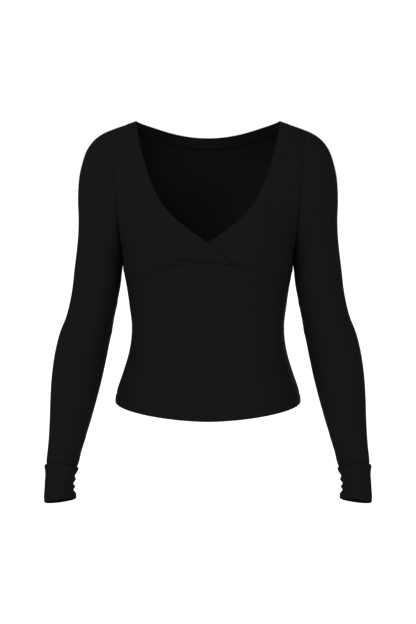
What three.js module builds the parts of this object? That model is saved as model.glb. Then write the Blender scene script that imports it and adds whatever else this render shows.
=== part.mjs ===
// A long-sleeved wrap top of plain black jersey, hollow, as it stands when it is worn.
// Millimetres, +Z up, the front faces -Y, +X is the wearer's left.
// The origin lies midway between the two high points of the shoulders.
import * as THREE from 'three';

// Driving sizes
const SEAM_GAP = 0.3; // between two pieces that are sewn together
const CLOTH = 1.5; // wall of a single layer of jersey
const BAND_CLOTH = 2.0; // wall of the doubled neckband
const HEM_CLOTH = 2.6; // wall where the hem is turned up
const BAND_WIDTH = 21;
const BODY_HEM = 14; // from the body's edge up to its hem stitches
const CUFF_HEM = 6;
const HEM_STEP = 2; // height over which the turned hem's wall thins to one layer
const NECK_X = 121; // high point of the shoulder, at the neckband's free edge
const SHOULDER_SLOPE = 0.35; // fall for each millimetre outwards
const SHOULDER_ROUND = 65; // height over which the shoulder rolls over from front to back
const SECTION_POWER = 2.4; // 2 is an ellipse, more is squarer
const WRAP_REACH = 18.5; // how far the band's seam runs past the centre at the underbust seam
const WRAP_EDGE_REACH = 43; // the same for the band's free edge
const WRAP_LIFT = 3.2; // the upper front stands this far out where it crosses the lower one
const LIFT_STARTS = -95; // the upper front begins to stand out here
const SEAM_RUN_OUT = 8; // the band's seam turns along the underbust seam over this height
const ARMHOLE_FADE = [1, 0.8, 0.55, 0.3, 0.12]; // how far the sleeve's first rings keep the armhole's form

// Level sections of the body
const BODY_SECTIONS = [
  { z: -494, halfWidth: 165.5, front: 115, back: 100 },
  { z: -462, halfWidth: 157.7, front: 110, back: 95 },
  { z: -427, halfWidth: 145.7, front: 102, back: 86 },
  { z: -392, halfWidth: 135.5, front: 94, back: 76 },
  { z: -357, halfWidth: 131.1, front: 90, back: 71 },
  { z: -322, halfWidth: 134.3, front: 92, back: 73 },
  { z: -287, halfWidth: 139, front: 99, back: 79 },
  { z: -253, halfWidth: 144.6, front: 106, back: 87 },
  { z: -222, halfWidth: 146, front: 108, back: 92 },
  { z: -185, halfWidth: 156, front: 107, back: 97 },
  { z: -150, halfWidth: 169, front: 101, back: 98 },
  { z: -121, halfWidth: 180, front: 92, back: 95 },
  { z: -70, halfWidth: 190, front: 73, back: 84 },
  { z: -30, halfWidth: 190, front: 52, back: 62 },
  { z: 10, halfWidth: 190, front: 36, back: 34 },
];

// Fullness that the cut of each cup gives
const CUP = { x: 78, z: -176, radius: 70, height: 8 };

// Level folds across the back above the waist
const BACK_FOLDS = [
  { z: -338, halfHeight: 11, height: 3.2, reach: 118 },
  { z: -362, halfHeight: 10, height: 2.2, reach: 96 },
];

// Seam under the bust, from the centre to the side
const UNDERBUST = [
  { x: 0, z: -229 },
  { x: 39, z: -232.6 },
  { x: 79, z: -245 },
  { x: 110, z: -254.5 },
  { x: 144.5, z: -259 },
];

// Hollow that the seam under the bust draws into the front, deepest a little below the seam
const UNDERBUST_HOLLOW = [
  { x: 0, depth: 1.5 },
  { x: 25, depth: 2.5 },
  { x: 58, depth: 6 },
  { x: 98, depth: 6.5 },
  { x: 128, depth: 4.5 },
  { x: 146, depth: 0 },
];
const HOLLOW = { belowSeam: 18, reachUp: 40, reachDown: 95 };

// Free edge of the right front neckband, from the wrap's end up to the shoulder
const FRONT_NECK = [
  { x: 43, z: -233.5 },
  { x: 28.8, z: -220.4 },
  { x: 0, z: -197 },
  { x: -25.3, z: -179.1 },
  { x: -50.3, z: -159.9 },
  { x: -69.5, z: -140.7 },
  { x: -82.3, z: -121.6 },
  { x: -92.3, z: -102.4 },
  { x: -99.6, z: -83 },
  { x: -105.3, z: -63.7 },
  { x: -111.4, z: -44.3 },
  { x: -117.5, z: -18 },
  { x: -NECK_X, z: 0 },
];

// Free edge of the neckband at the back, from the shoulder to the centre
const BACK_NECK = [
  { x: -NECK_X, z: 0 },
  { x: -117, z: -2.6 },
  { x: -99, z: -9.5 },
  { x: -57, z: -22.6 },
  { x: -20, z: -28.8 },
  { x: 20, z: -28.8 },
];

// Armhole, seen from the side as an upright loop
const ARMHOLE = { topX: 163, topZ: -14.7, underX: 146, underZ: -222 };

// Side hem corner and the dip of the hem to the centre front and back
const HEM = { sideZ: -480, frontZ: -493.5, backZ: -488, curve: 1.5 };

// Left sleeve, a row for each ring: outer and inner point, middle, depth and rise of its front
const SLEEVE_SECTIONS = [
  { outerX: 163, outerZ: -14.7, innerX: 146, innerZ: -222, y: 0, front: 56, back: 58, rise: 0 },
  { outerX: 177.5, outerZ: -21.6, innerX: 147, innerZ: -227, y: 0, front: 56, back: 58, rise: 0 },
  { outerX: 191.5, outerZ: -31.4, innerX: 147.2, innerZ: -232, y: 1, front: 55, back: 57, rise: 0 },
  { outerX: 205, outerZ: -49, innerX: 147.3, innerZ: -236, y: 2, front: 53, back: 56, rise: 0 },
  { outerX: 214, outerZ: -74, innerX: 147.4, innerZ: -240, y: 3, front: 51, back: 54, rise: 0 },
  { outerX: 219.4, outerZ: -100, innerX: 147.5, innerZ: -244, y: 4, front: 48, back: 51, rise: 0 },
  { outerX: 221.5, outerZ: -134, innerX: 147.7, innerZ: -249, y: 5, front: 46, back: 48, rise: 0 },
  { outerX: 220.8, outerZ: -168, innerX: 148, innerZ: -255, y: 5, front: 44, back: 46, rise: 0 },
  { outerX: 223, outerZ: -205, innerX: 148.9, innerZ: -265, y: 5, front: 43, back: 45, rise: 0 },
  { outerX: 229, outerZ: -251, innerX: 151.2, innerZ: -284, y: 6, front: 42, back: 43, rise: 0 },
  { outerX: 234.4, outerZ: -292, innerX: 156.6, innerZ: -312, y: 7, front: 42, back: 42, rise: 1 },
  { outerX: 243.8, outerZ: -332, innerX: 162.8, innerZ: -344, y: 8, front: 42, back: 43, rise: 3 },
  { outerX: 255.5, outerZ: -362, innerX: 168.6, innerZ: -373, y: 5, front: 43, back: 44, rise: 6 },
  { outerX: 263.4, outerZ: -395, innerX: 174.6, innerZ: -403, y: -4, front: 43, back: 44, rise: 9 },
  { outerX: 268.5, outerZ: -433, innerX: 181.8, innerZ: -437, y: -14, front: 42, back: 42, rise: 10 },
  { outerX: 270.6, outerZ: -470, innerX: 190.4, innerZ: -471, y: -23, front: 39, back: 39, rise: 9 },
  { outerX: 271.4, outerZ: -507, innerX: 200.8, innerZ: -508, y: -32, front: 35, back: 35, rise: 9 },
  { outerX: 273, outerZ: -543, innerX: 212.2, innerZ: -545, y: -41, front: 31, back: 31, rise: 9 },
  { outerX: 276.4, outerZ: -579, innerX: 222.4, innerZ: -584, y: -51, front: 27.5, back: 27.5, rise: 9 },
];

// Left cuff, by the drop below its seam: a roll below the seam, then small folds inside the wrist
const CUFF_SECTIONS = [
  { drop: 0, outerX: 276.4, innerX: 222.4 },
  { drop: 2.5, outerX: 278.6, innerX: 221.4 },
  { drop: 6, outerX: 279.3, innerX: 221.4 },
  { drop: 11.5, outerX: 278.3, innerX: 223.4 },
  { drop: 19.5, outerX: 277.7, innerX: 227.4 },
  { drop: 26.5, outerX: 278.2, innerX: 225.6 },
  { drop: 35, outerX: 278.6, innerX: 229.8 },
  { drop: 41, outerX: 278.9, innerX: 226.4 },
  { drop: 47, outerX: 279.2, innerX: 229.4 },
  { drop: 53.5, outerX: 279.7, innerX: 225.4 },
  { drop: 59, outerX: 280, innerX: 223.9 },
  { drop: 66.4, outerX: 279.4, innerX: 224.6 },
];
const CUFF = { innerFall: 0.81, forward: 0.24, riseEnd: 10.4 };

// How finely the pieces are divided
const ARM_STEPS = 12; // along half of an armhole
const SIDE_STEPS = 3; // between the underarm and the underbust seam
const LAP_STEPS = 3; // of the underbust seam between the two wrap ends
const CUP_STEPS = 9; // of the underbust seam from the wrap end to the side
const SHOULDER_STEPS = 3;
const BACK_NECK_STEPS = 18;
const BODY_ROW = 17; // height of a row below the underbust seam

// Gives the value of a named column at a place between the rows of a table
function between(table, key, column, at) {
  const last = table.length - 1;
  let row = 0;
  while (row < last - 1 && at > table[row + 1][key]) row += 1;
  const slope = (k) => {
    const low = table[Math.max(0, k - 1)];
    const high = table[Math.min(last, k + 1)];
    return (high[column] - low[column]) / (high[key] - low[key]);
  };
  const start = table[row];
  const end = table[row + 1];
  const span = end[key] - start[key];
  const t = THREE.MathUtils.clamp((at - start[key]) / span, 0, 1);
  const rise = slope(row) * span;
  const settle = slope(row + 1) * span;
  const bend = 2 * t ** 3 - 3 * t ** 2;
  return start[column] * (1 + bend) - end[column] * bend
    + rise * (t ** 3 - 2 * t ** 2 + t) + settle * (t ** 3 - t ** 2);
}

const FRONT = -1;
const BACK = 1;

// The body's surface
function bodySize(z, side) {
  return {
    halfWidth: between(BODY_SECTIONS, 'z', 'halfWidth', z),
    depth: between(BODY_SECTIONS, 'z', side === FRONT ? 'front' : 'back', z),
  };
}

function ridgeHeight(x) {
  return (NECK_X - Math.abs(x)) * SHOULDER_SLOPE;
}

// 0 on the plain body, rising to 1 on the shoulder's ridge
function shoulderRoll(x, z) {
  return THREE.MathUtils.clamp(1 - (ridgeHeight(x) - z) / SHOULDER_ROUND, 0, 1);
}

function bodyDepth(x, z, side) {
  const { halfWidth, depth } = bodySize(z, side);
  const across = Math.max(0, 1 - (Math.abs(x) / halfWidth) ** SECTION_POWER) ** (1 / SECTION_POWER);
  return depth * across * Math.sqrt(1 - shoulderRoll(x, z) ** 2);
}

function bodyPoint(x, z, side, leastDepth = 0) {
  return new THREE.Vector3(x, side * Math.max(bodyDepth(x, z, side), leastDepth), z);
}

// Direction that points straight out of the cloth
function outward(point, side) {
  const level = (x, y, z) => {
    const { halfWidth, depth } = bodySize(z, side);
    return (Math.abs(x) / halfWidth) ** SECTION_POWER + (Math.abs(y) / depth) ** SECTION_POWER;
  };
  const { x, y, z } = point;
  const step = 0.5;
  const roll = shoulderRoll(x, z);
  const top = 2 * roll / SHOULDER_ROUND;
  const dx = (level(x + step, y, z) - level(x - step, y, z)) / (2 * step);
  const dy = (level(x, y + step, z) - level(x, y - step, z)) / (2 * step);
  const dz = (level(x, y, z + step) - level(x, y, z - step)) / (2 * step);
  const flat = 1 - roll ** 2;
  return new THREE.Vector3(
    dx * flat + top * SHOULDER_SLOPE * Math.sign(x),
    dy,
    dz * flat + top,
  ).normalize();
}

// Angle round the body, 0 at the centre and a right angle at the side
function angleAt(x, z, side) {
  const share = Math.min(1, Math.abs(x) / bodySize(z, side).halfWidth);
  return Math.sign(x) * Math.asin(share ** (SECTION_POWER / 2));
}

function widthAt(angle, z, side) {
  const share = Math.abs(Math.sin(angle)) ** (2 / SECTION_POWER);
  return Math.sign(angle) * bodySize(z, side).halfWidth * share;
}

// Smooth hump of height 1 within a distance of 1
function hump(distance) {
  return Math.abs(distance) < 1 ? Math.cos(distance * Math.PI / 2) ** 2 : 0;
}

function cupFullness(x, z) {
  const away = Math.hypot(Math.abs(x) - CUP.x, z - CUP.z) / CUP.radius;
  return CUP.height * hump(away);
}

function underbustHollow(x, z) {
  const up = z - underbustZ(x) + HOLLOW.belowSeam;
  const depth = between(UNDERBUST_HOLLOW, 'x', 'depth', Math.abs(x));
  return depth * hump(up / (up > 0 ? HOLLOW.reachUp : HOLLOW.reachDown));
}

function frontFullness(x, z) {
  return cupFullness(x, z) - underbustHollow(x, z);
}

function backFolds(x, z) {
  let height = 0;
  for (const fold of BACK_FOLDS) {
    height += fold.height * hump((z - fold.z) / fold.halfHeight) * hump(x / fold.reach) ** 0.5;
  }
  return height;
}

function wrapLift(x) {
  return WRAP_LIFT * THREE.MathUtils.smoothstep(x, LIFT_STARTS, -WRAP_EDGE_REACH);
}

// Moves a point of the bare body out to the cloth's outer face
function dress(point, side, lifted) {
  const full = side === FRONT ? frontFullness(point.x, point.z) : backFolds(point.x, point.z);
  const lift = lifted ? wrapLift(point.x) : 0;
  return point.clone().addScaledVector(outward(point, side), full + lift);
}

// Lines on the body
function spline(rows) {
  return new THREE.CatmullRomCurve3(rows.map((row) => new THREE.Vector3(row.x, 0, row.z)), false, 'centripetal');
}

// Places evenly spaced stations along a line, measured over the body
function stations(curve, side, steps) {
  const fine = 400;
  const points = [];
  const lengths = [0];
  for (let k = 0; k <= fine; k += 1) {
    const flat = curve.getPoint(k / fine);
    points.push(bodyPoint(flat.x, flat.z, side));
    if (k > 0) lengths.push(lengths[k - 1] + points[k].distanceTo(points[k - 1]));
  }
  const found = [];
  let k = 0;
  for (let step = 0; step <= steps; step += 1) {
    const wanted = lengths[fine] * step / steps;
    while (k < fine - 1 && lengths[k + 1] < wanted) k += 1;
    const part = (wanted - lengths[k]) / (lengths[k + 1] - lengths[k]);
    const flat = curve.getPoint((k + Math.min(1, part)) / fine);
    found.push({ x: flat.x, z: flat.z });
  }
  return found;
}

function mirrored(line) {
  return line.map((place) => ({ x: -place.x, z: place.z }));
}

function shifted(line, rise) {
  return line.map((place) => ({ x: place.x, z: place.z + rise }));
}

function underbustZ(x) {
  return between(UNDERBUST, 'x', 'z', Math.abs(x));
}

// The band's seam runs beside its free edge, one band width away over the body
function bandSeam(edge, side) {
  const curve = spline(edge);
  return edge.map((_, k) => {
    const at = k / (edge.length - 1);
    const here = curve.getPoint(at);
    const step = curve.getTangent(at);
    const point = bodyPoint(here.x, here.z, side);
    const next = bodyPoint(here.x + step.x, here.z + step.z, side);
    const across = next.sub(point).cross(outward(point, side)).normalize();
    return { x: point.x - across.x * BAND_WIDTH, z: point.z - across.z * BAND_WIDTH };
  });
}

const SHOULDER_SEAM_X = NECK_X + BAND_WIDTH * Math.cos(Math.atan(SHOULDER_SLOPE));
const shoulderPoint = (x) => ({ x, z: ridgeHeight(x) });

function frontBandSeam() {
  const beside = bandSeam(FRONT_NECK, FRONT).slice(1, -1).filter((row) => row.z > underbustZ(row.x) + SEAM_RUN_OUT);
  const end = { x: WRAP_REACH, z: underbustZ(WRAP_REACH) };
  return spline([end, ...beside, shoulderPoint(-SHOULDER_SEAM_X)]);
}

function backBandSeam() {
  const beside = bandSeam(BACK_NECK, BACK).slice(1, -1);
  return spline([shoulderPoint(-SHOULDER_SEAM_X), ...beside, ...mirrored(beside).reverse(), shoulderPoint(SHOULDER_SEAM_X)]);
}

function backBandEdge() {
  const half = BACK_NECK.slice(0, -1);
  return spline([...half, ...mirrored(half).reverse()]);
}

// Half of the right armhole, from the underarm to the shoulder
function armholeLine() {
  const middleZ = (ARMHOLE.topZ + ARMHOLE.underZ) / 2;
  const halfZ = (ARMHOLE.topZ - ARMHOLE.underZ) / 2;
  const middleX = (ARMHOLE.topX + ARMHOLE.underX) / 2;
  const halfX = (ARMHOLE.topX - ARMHOLE.underX) / 2;
  const line = [];
  for (let k = 0; k <= ARM_STEPS; k += 1) {
    const up = -Math.cos(Math.PI * k / ARM_STEPS);
    line.push({ x: -(middleX + halfX * up), z: middleZ + halfZ * up });
  }
  return line;
}

// Right side seam between two heights, from the lower to the upper
function sideLine(heights) {
  return heights.map((z) => ({ x: -bodySize(z, FRONT).halfWidth, z }));
}

function evenHeights(low, high, steps) {
  return Array.from({ length: steps + 1 }, (_, k) => THREE.MathUtils.lerp(low, high, k / steps));
}

// Heights of the rows between the hem and the underbust seam, with rows on every fold
function bodyRows() {
  const low = HEM.sideZ;
  const stitch = low + BODY_HEM;
  const high = UNDERBUST[UNDERBUST.length - 1].z;
  const marks = [low, stitch, stitch + HEM_STEP, high];
  for (const fold of BACK_FOLDS) marks.push(fold.z - fold.halfHeight, fold.z, fold.z + fold.halfHeight);
  marks.sort((p, q) => p - q);
  const rows = [marks[0]];
  for (let k = 1; k < marks.length; k += 1) {
    const steps = Math.max(1, Math.round((marks[k] - marks[k - 1]) / BODY_ROW));
    rows.push(...evenHeights(marks[k - 1], marks[k], steps).slice(1));
  }
  return rows;
}

// How far along a line each of its places lies, by the angle round the body
function sharesAlong(line, side) {
  const angles = line.map((place) => angleAt(place.x, place.z, side));
  const sweep = angles[angles.length - 1] - angles[0];
  return angles.map((angle) => (angle - angles[0]) / sweep);
}

// Fills a four-sided panel between its border lines, as rows of places on the body.
// bottom and top run from the first to the last column, first and last from the bottom up.
function fillPanel({ bottom, top, first, last }, side) {
  const turn = (place) => ({ angle: angleAt(place.x, place.z, side), z: place.z });
  const [low, high, start, end] = [bottom, top, first, last].map((line) => line.map(turn));
  const rows = start.length - 1;
  const columns = low.length - 1;
  const shares = sharesAlong(bottom, side);
  const blend = (key, u, v, column, row) => (
    (1 - v) * low[column][key] + v * high[column][key]
    + (1 - u) * start[row][key] + u * end[row][key]
    - (1 - u) * (1 - v) * low[0][key] - u * (1 - v) * low[columns][key]
    - (1 - u) * v * high[0][key] - u * v * high[columns][key]
  );
  const panel = [];
  for (let row = 0; row <= rows; row += 1) {
    const line = [];
    for (let column = 0; column <= columns; column += 1) {
      const u = shares[column];
      const v = row / rows;
      const z = blend('z', u, v, column, row);
      line.push({ x: widthAt(blend('angle', u, v, column, row), z, side), z });
    }
    panel.push(line);
  }
  return panel;
}

// Outer and inner faces of a panel
function panelFaces(panel, side, { wall, lifted = false, leastDepth = SEAM_GAP / 2 }) {
  const outer = [];
  const inner = [];
  for (const line of panel) {
    const bare = line.map(({ x, z }) => bodyPoint(x, Math.min(z, ridgeHeight(x)), side, leastDepth));
    outer.push(bare.map((point) => dress(point, side, lifted)));
    inner.push(bare.map((point, k) => (
      dress(point, side, lifted).addScaledVector(outward(point, side), -wall(line[k].z))
    )));
  }
  return { outer, inner };
}

const SPLIT = new THREE.Vector3(0.6, 0.1, 0.8);

// Closed wall between an outer and an inner grid of points. A tube's rows close on themselves.
function wallGeometry({ outer, inner }, tube = false) {
  const rows = outer.length;
  const columns = outer[0].length;
  const positions = [...outer.flat(), ...inner.flat()].flatMap((p) => [p.x, p.y, p.z]);
  const index = [];
  const at = (layer, row, column) => layer * rows * columns + row * columns + (column % columns);
  const quad = (a, b, c, d) => index.push(a, b, c, a, c, d);
  const spans = tube ? columns : columns - 1;
  for (let row = 0; row < rows - 1; row += 1) {
    for (let column = 0; column < spans; column += 1) {
      const corners = [[row, column], [row, column + 1], [row + 1, column + 1], [row + 1, column]];
      quad(...corners.map(([r, c]) => at(0, r, c)));
      quad(...corners.map(([r, c]) => at(1, r, c)).reverse());
    }
  }
  // A border face is split the same way on both sides of a seam, so that twisted ones stay apart
  const faces = outer.flat();
  const height = (k) => faces[k].dot(SPLIT);
  const border = (outerA, outerB) => {
    const [innerA, innerB] = [outerA, outerB].map((k) => k + rows * columns);
    if (height(outerA) < height(outerB)) quad(outerA, outerB, innerB, innerA);
    else quad(outerB, innerB, innerA, outerA);
  };
  const end = rows - 1;
  for (let column = 0; column < spans; column += 1) {
    border(at(0, 0, column + 1), at(0, 0, column));
    border(at(0, end, column), at(0, end, column + 1));
  }
  if (!tube) {
    for (let row = 0; row < end; row += 1) {
      border(at(0, row, 0), at(0, row + 1, 0));
      border(at(0, row + 1, columns - 1), at(0, row, columns - 1));
    }
  }
  const geometry = new THREE.BufferGeometry();
  geometry.setAttribute('position', new THREE.Float32BufferAttribute(positions, 3));
  geometry.setIndex(index);
  return facingOut(geometry);
}

// Turns the faces round where they point into the wall
function facingOut(geometry) {
  const position = geometry.getAttribute('position');
  const index = geometry.getIndex();
  const [a, b, c] = [new THREE.Vector3(), new THREE.Vector3(), new THREE.Vector3()];
  let volume = 0;
  for (let k = 0; k < index.count; k += 3) {
    a.fromBufferAttribute(position, index.getX(k));
    b.fromBufferAttribute(position, index.getX(k + 1));
    c.fromBufferAttribute(position, index.getX(k + 2));
    volume += a.dot(b.cross(c));
  }
  if (volume < 0) {
    for (let k = 0; k < index.count; k += 3) {
      const second = index.getX(k + 1);
      index.setX(k + 1, index.getX(k + 2));
      index.setX(k + 2, second);
    }
  }
  geometry.computeVertexNormals();
  return geometry;
}

const jersey = (name) => new THREE.MeshStandardMaterial({ name, color: 0x1a1a1b, roughness: 0.95, metalness: 0 });

function addPiece(group, name, geometry) {
  const mesh = new THREE.Mesh(geometry, jersey(`${name}_jersey`));
  mesh.name = name;
  group.add(mesh);
}

const singleWall = () => CLOTH;
const hemmedWall = (z) => (z < HEM.sideZ + BODY_HEM + HEM_STEP / 2 ? HEM_CLOTH : CLOTH);

// Upper front, right: from the side seam and armhole to the band, across the centre
const bandSeamStations = stations(frontBandSeam(), FRONT, SIDE_STEPS + ARM_STEPS);

function underbustStations() {
  const sideX = -bodySize(UNDERBUST[UNDERBUST.length - 1].z, FRONT).halfWidth;
  const z = UNDERBUST[UNDERBUST.length - 1].z;
  const from = angleAt(sideX, z, FRONT);
  const to = angleAt(-WRAP_REACH, underbustZ(WRAP_REACH), FRONT);
  const line = [];
  for (let k = 0; k < CUP_STEPS; k += 1) {
    const angle = THREE.MathUtils.lerp(from, to, k / CUP_STEPS);
    const x = widthAt(angle, z, FRONT);
    line.push({ x, z: underbustZ(x) });
  }
  for (let k = 0; k <= LAP_STEPS; k += 1) {
    const x = THREE.MathUtils.lerp(-WRAP_REACH, WRAP_REACH, k / LAP_STEPS);
    line.push({ x, z: underbustZ(x) });
  }
  return line;
}

function frontCup(lifted) {
  const bottom = shifted(underbustStations(), SEAM_GAP / 2);
  const columns = bottom.length - 1;
  const sideHeights = evenHeights(bottom[0].z, ARMHOLE.underZ, SIDE_STEPS);
  const first = [...sideLine(sideHeights), ...armholeLine().slice(1)];
  const last = bandSeamStations.map((place) => ({ ...place }));
  last[0] = bottom[columns];
  const tip = first[first.length - 1];
  const neck = last[last.length - 1];
  const top = sharesAlong(bottom, FRONT).map((share) => shoulderPoint(THREE.MathUtils.lerp(tip.x, neck.x, share)));
  const panel = fillPanel({ bottom, top, first, last }, FRONT);
  return panelFaces(panel, FRONT, { wall: singleWall, lifted });
}

function mirrorFaces({ outer, inner }) {
  const flip = (grid) => grid.map((line) => line.map((p) => new THREE.Vector3(-p.x, p.y, p.z)));
  return { outer: flip(outer), inner: flip(inner) };
}

// Place on the hem's edge, which dips from the sides to the centre
function hemPlace(angle, centreZ, side) {
  const share = Math.abs(widthAt(angle, HEM.sideZ, side)) / bodySize(HEM.sideZ, side).halfWidth;
  const z = centreZ + (HEM.sideZ - centreZ) * share ** HEM.curve;
  return { x: widthAt(angle, z, side), z };
}

// Lower front: from the hem to the underbust seam
function frontLower() {
  const right = underbustStations();
  const lap = right.slice(CUP_STEPS);
  const outerPart = right.slice(0, CUP_STEPS);
  const top = shifted([...outerPart, ...lap, ...mirrored(outerPart).reverse()], -SEAM_GAP / 2);
  const heights = bodyRows();
  const side = sideLine(heights);
  side[side.length - 1] = top[0];
  const angle = angleAt(side[0].x, HEM.sideZ, FRONT);
  const bottom = top.map((place) => {
    const around = angleAt(place.x, place.z, FRONT) / Math.abs(angleAt(top[0].x, top[0].z, FRONT));
    return hemPlace(around * Math.abs(angle), HEM.frontZ, FRONT);
  });
  const panel = fillPanel({ bottom, top, first: side, last: mirrored(side) }, FRONT);
  return panelFaces(panel, FRONT, { wall: hemmedWall });
}

// Back: from the hem to the shoulders and the band at the neck
const backSeamStations = stations(backBandSeam(), BACK, BACK_NECK_STEPS);

function backPiece() {
  const heights = bodyRows();
  const upper = evenHeights(heights[heights.length - 1], ARMHOLE.underZ, SIDE_STEPS).slice(1);
  const side = [...sideLine([...heights, ...upper]), ...armholeLine().slice(1)];
  const tip = side[side.length - 1];
  const shoulder = Array.from({ length: SHOULDER_STEPS }, (_, k) => (
    shoulderPoint(THREE.MathUtils.lerp(tip.x, -SHOULDER_SEAM_X, k / SHOULDER_STEPS))
  ));
  const top = [...shoulder, ...backSeamStations, ...mirrored(shoulder).reverse()];
  const columns = top.length - 1;
  const bottom = top.map((_, k) => {
    const around = -1 + 2 * k / columns;
    return hemPlace(around * Math.PI / 2, HEM.backZ, BACK);
  });
  const panel = fillPanel({ bottom, top, first: side, last: mirrored(side) }, BACK);
  return panelFaces(panel, BACK, { wall: hemmedWall });
}

// Neckband: one doubled strip, from the right wrap end round the neck to the left wrap end
function bandRow(seam, next, edge, side, lifted) {
  const start = new THREE.Vector2(seam.x, seam.z);
  const finish = new THREE.Vector2(edge.x, edge.z);
  const across = finish.clone().sub(start);
  const along = new THREE.Vector2(next.x, next.z).sub(start);
  const inset = SEAM_GAP * along.length() / Math.abs(across.cross(along));
  const line = [inset, (1 + inset) / 2, 1].map((part) => {
    const place = start.clone().lerp(finish, part);
    return { x: place.x, z: place.y };
  });
  return panelFaces([line], side, { wall: () => BAND_CLOTH, lifted, leastDepth: 0 });
}

function neckband() {
  const steps = bandSeamStations.length - 1;
  const frontEdge = stations(spline(FRONT_NECK), FRONT, steps);
  const backEdge = stations(backBandEdge(), BACK, BACK_NECK_STEPS);
  const front = bandSeamStations.map((seam, k) => {
    const rise = k === 0 ? SEAM_GAP / 2 : 0;
    return shifted([seam, frontEdge[k], bandSeamStations[k === steps ? k - 1 : k + 1]], rise);
  });
  const rows = front.map(([seam, edge, next]) => bandRow(seam, next, edge, FRONT, true));
  for (let k = 1; k < BACK_NECK_STEPS; k += 1) {
    rows.push(bandRow(backSeamStations[k], backSeamStations[k + 1], backEdge[k], BACK, false));
  }
  for (const line of front.reverse()) {
    const [seam, edge, next] = mirrored(line);
    rows.push(bandRow(seam, next, edge, FRONT, false));
  }
  return { outer: rows.map((row) => row.outer[0]), inner: rows.map((row) => row.inner[0]) };
}

// Rings of a tube, each through its outer, front, inner and back points
function ring({ outerX, outerZ, innerX, innerZ, y, front, back, rise }, steps) {
  const points = [];
  for (let k = 0; k < steps; k += 1) {
    const turn = 2 * Math.PI * k / steps;
    const out = Math.cos(turn);
    const ahead = Math.sin(turn);
    const depth = ahead > 0 ? front : back;
    points.push(new THREE.Vector3(
      (outerX + innerX) / 2 + (outerX - innerX) / 2 * out,
      y - depth * ahead,
      (outerZ + innerZ) / 2 + (outerZ - innerZ) / 2 * out + rise * ahead,
    ));
  }
  return points;
}

// Left armhole as the body's panels leave it, in the order of a sleeve's ring
function armholeRing() {
  const up = mirrored(armholeLine());
  const edge = (side) => up.map(({ x, z }) => {
    const bare = bodyPoint(x, z, side);
    return dress(bare, side, false);
  });
  const ahead = edge(FRONT).reverse();
  const behind = edge(BACK);
  return [...ahead.slice(0, -1), ...behind.slice(0, -1)].map((p) => p.setX(p.x + SEAM_GAP));
}

// Outer and inner faces of a tube whose wall is set square to its surface
function tubeFaces(rings, wall, flatStart) {
  const last = rings.length - 1;
  const columns = rings[0].length;
  const inner = rings.map((points, row) => points.map((point, column) => {
    const round = points[(column + 1) % columns].clone().sub(points[(column + columns - 1) % columns]);
    const along = rings[Math.min(last, row + 1)][column].clone().sub(rings[Math.max(0, row - 1)][column]);
    if (row === 0 && flatStart) along.set(1, 0, 0);
    const out = round.cross(along).normalize();
    return point.clone().addScaledVector(out, -wall(row));
  }));
  return { outer: rings, inner };
}

function sleeve() {
  const steps = 2 * ARM_STEPS;
  const rings = SLEEVE_SECTIONS.map((row) => ring(row, steps));
  const hole = armholeRing();
  const first = rings[0];
  const offsets = hole.map((point, k) => point.clone().sub(first[k]));
  ARMHOLE_FADE.forEach((share, row) => {
    rings[row] = rings[row].map((point, k) => point.clone().addScaledVector(offsets[k], share));
  });
  return tubeFaces(rings, () => CLOTH, true);
}

function cuff() {
  const steps = 2 * ARM_STEPS;
  const start = SLEEVE_SECTIONS[SLEEVE_SECTIONS.length - 1];
  const length = CUFF_SECTIONS[CUFF_SECTIONS.length - 1].drop;
  const rings = CUFF_SECTIONS.map(({ drop, outerX, innerX }) => {
    const plain = (start.outerX - start.innerX) / 2;
    const depth = start.front + ((outerX - innerX) / 2 - plain) * 0.5;
    return ring({
      outerX,
      innerX,
      outerZ: start.outerZ - SEAM_GAP - drop,
      innerZ: start.innerZ - SEAM_GAP - drop * CUFF.innerFall,
      y: start.y - drop * CUFF.forward,
      front: depth,
      back: depth,
      rise: THREE.MathUtils.lerp(start.rise, CUFF.riseEnd, drop / length),
    }, steps);
  });
  const hemmed = (row) => (CUFF_SECTIONS[row].drop >= length - CUFF_HEM ? HEM_CLOTH : CLOTH);
  return tubeFaces(rings, hemmed, false);
}

const top = new THREE.Group();
addPiece(top, 'back', wallGeometry(backPiece()));
addPiece(top, 'front_lower', wallGeometry(frontLower()));
addPiece(top, 'front_right', wallGeometry(frontCup(true)));
addPiece(top, 'front_left', wallGeometry(mirrorFaces(frontCup(false))));
addPiece(top, 'neckband', wallGeometry(neckband()));
addPiece(top, 'sleeve_left', wallGeometry(sleeve(), true));
addPiece(top, 'sleeve_right', wallGeometry(mirrorFaces(sleeve()), true));
addPiece(top, 'cuff_left', wallGeometry(cuff(), true));
addPiece(top, 'cuff_right', wallGeometry(mirrorFaces(cuff()), true));

export default top;
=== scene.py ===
"""A long-sleeved wrap top of matte black jersey, hollow as it stands when it is worn.

Sizes in the classes and tables are millimetres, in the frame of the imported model:
+Z up, the front faces -Y, +X is the wearer's left, and the origin lies midway between
the two high points of the shoulders. Meshes are made in metres.
"""

from __future__ import annotations

import logging
import math
from dataclasses import dataclass, field
from enum import Enum

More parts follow.
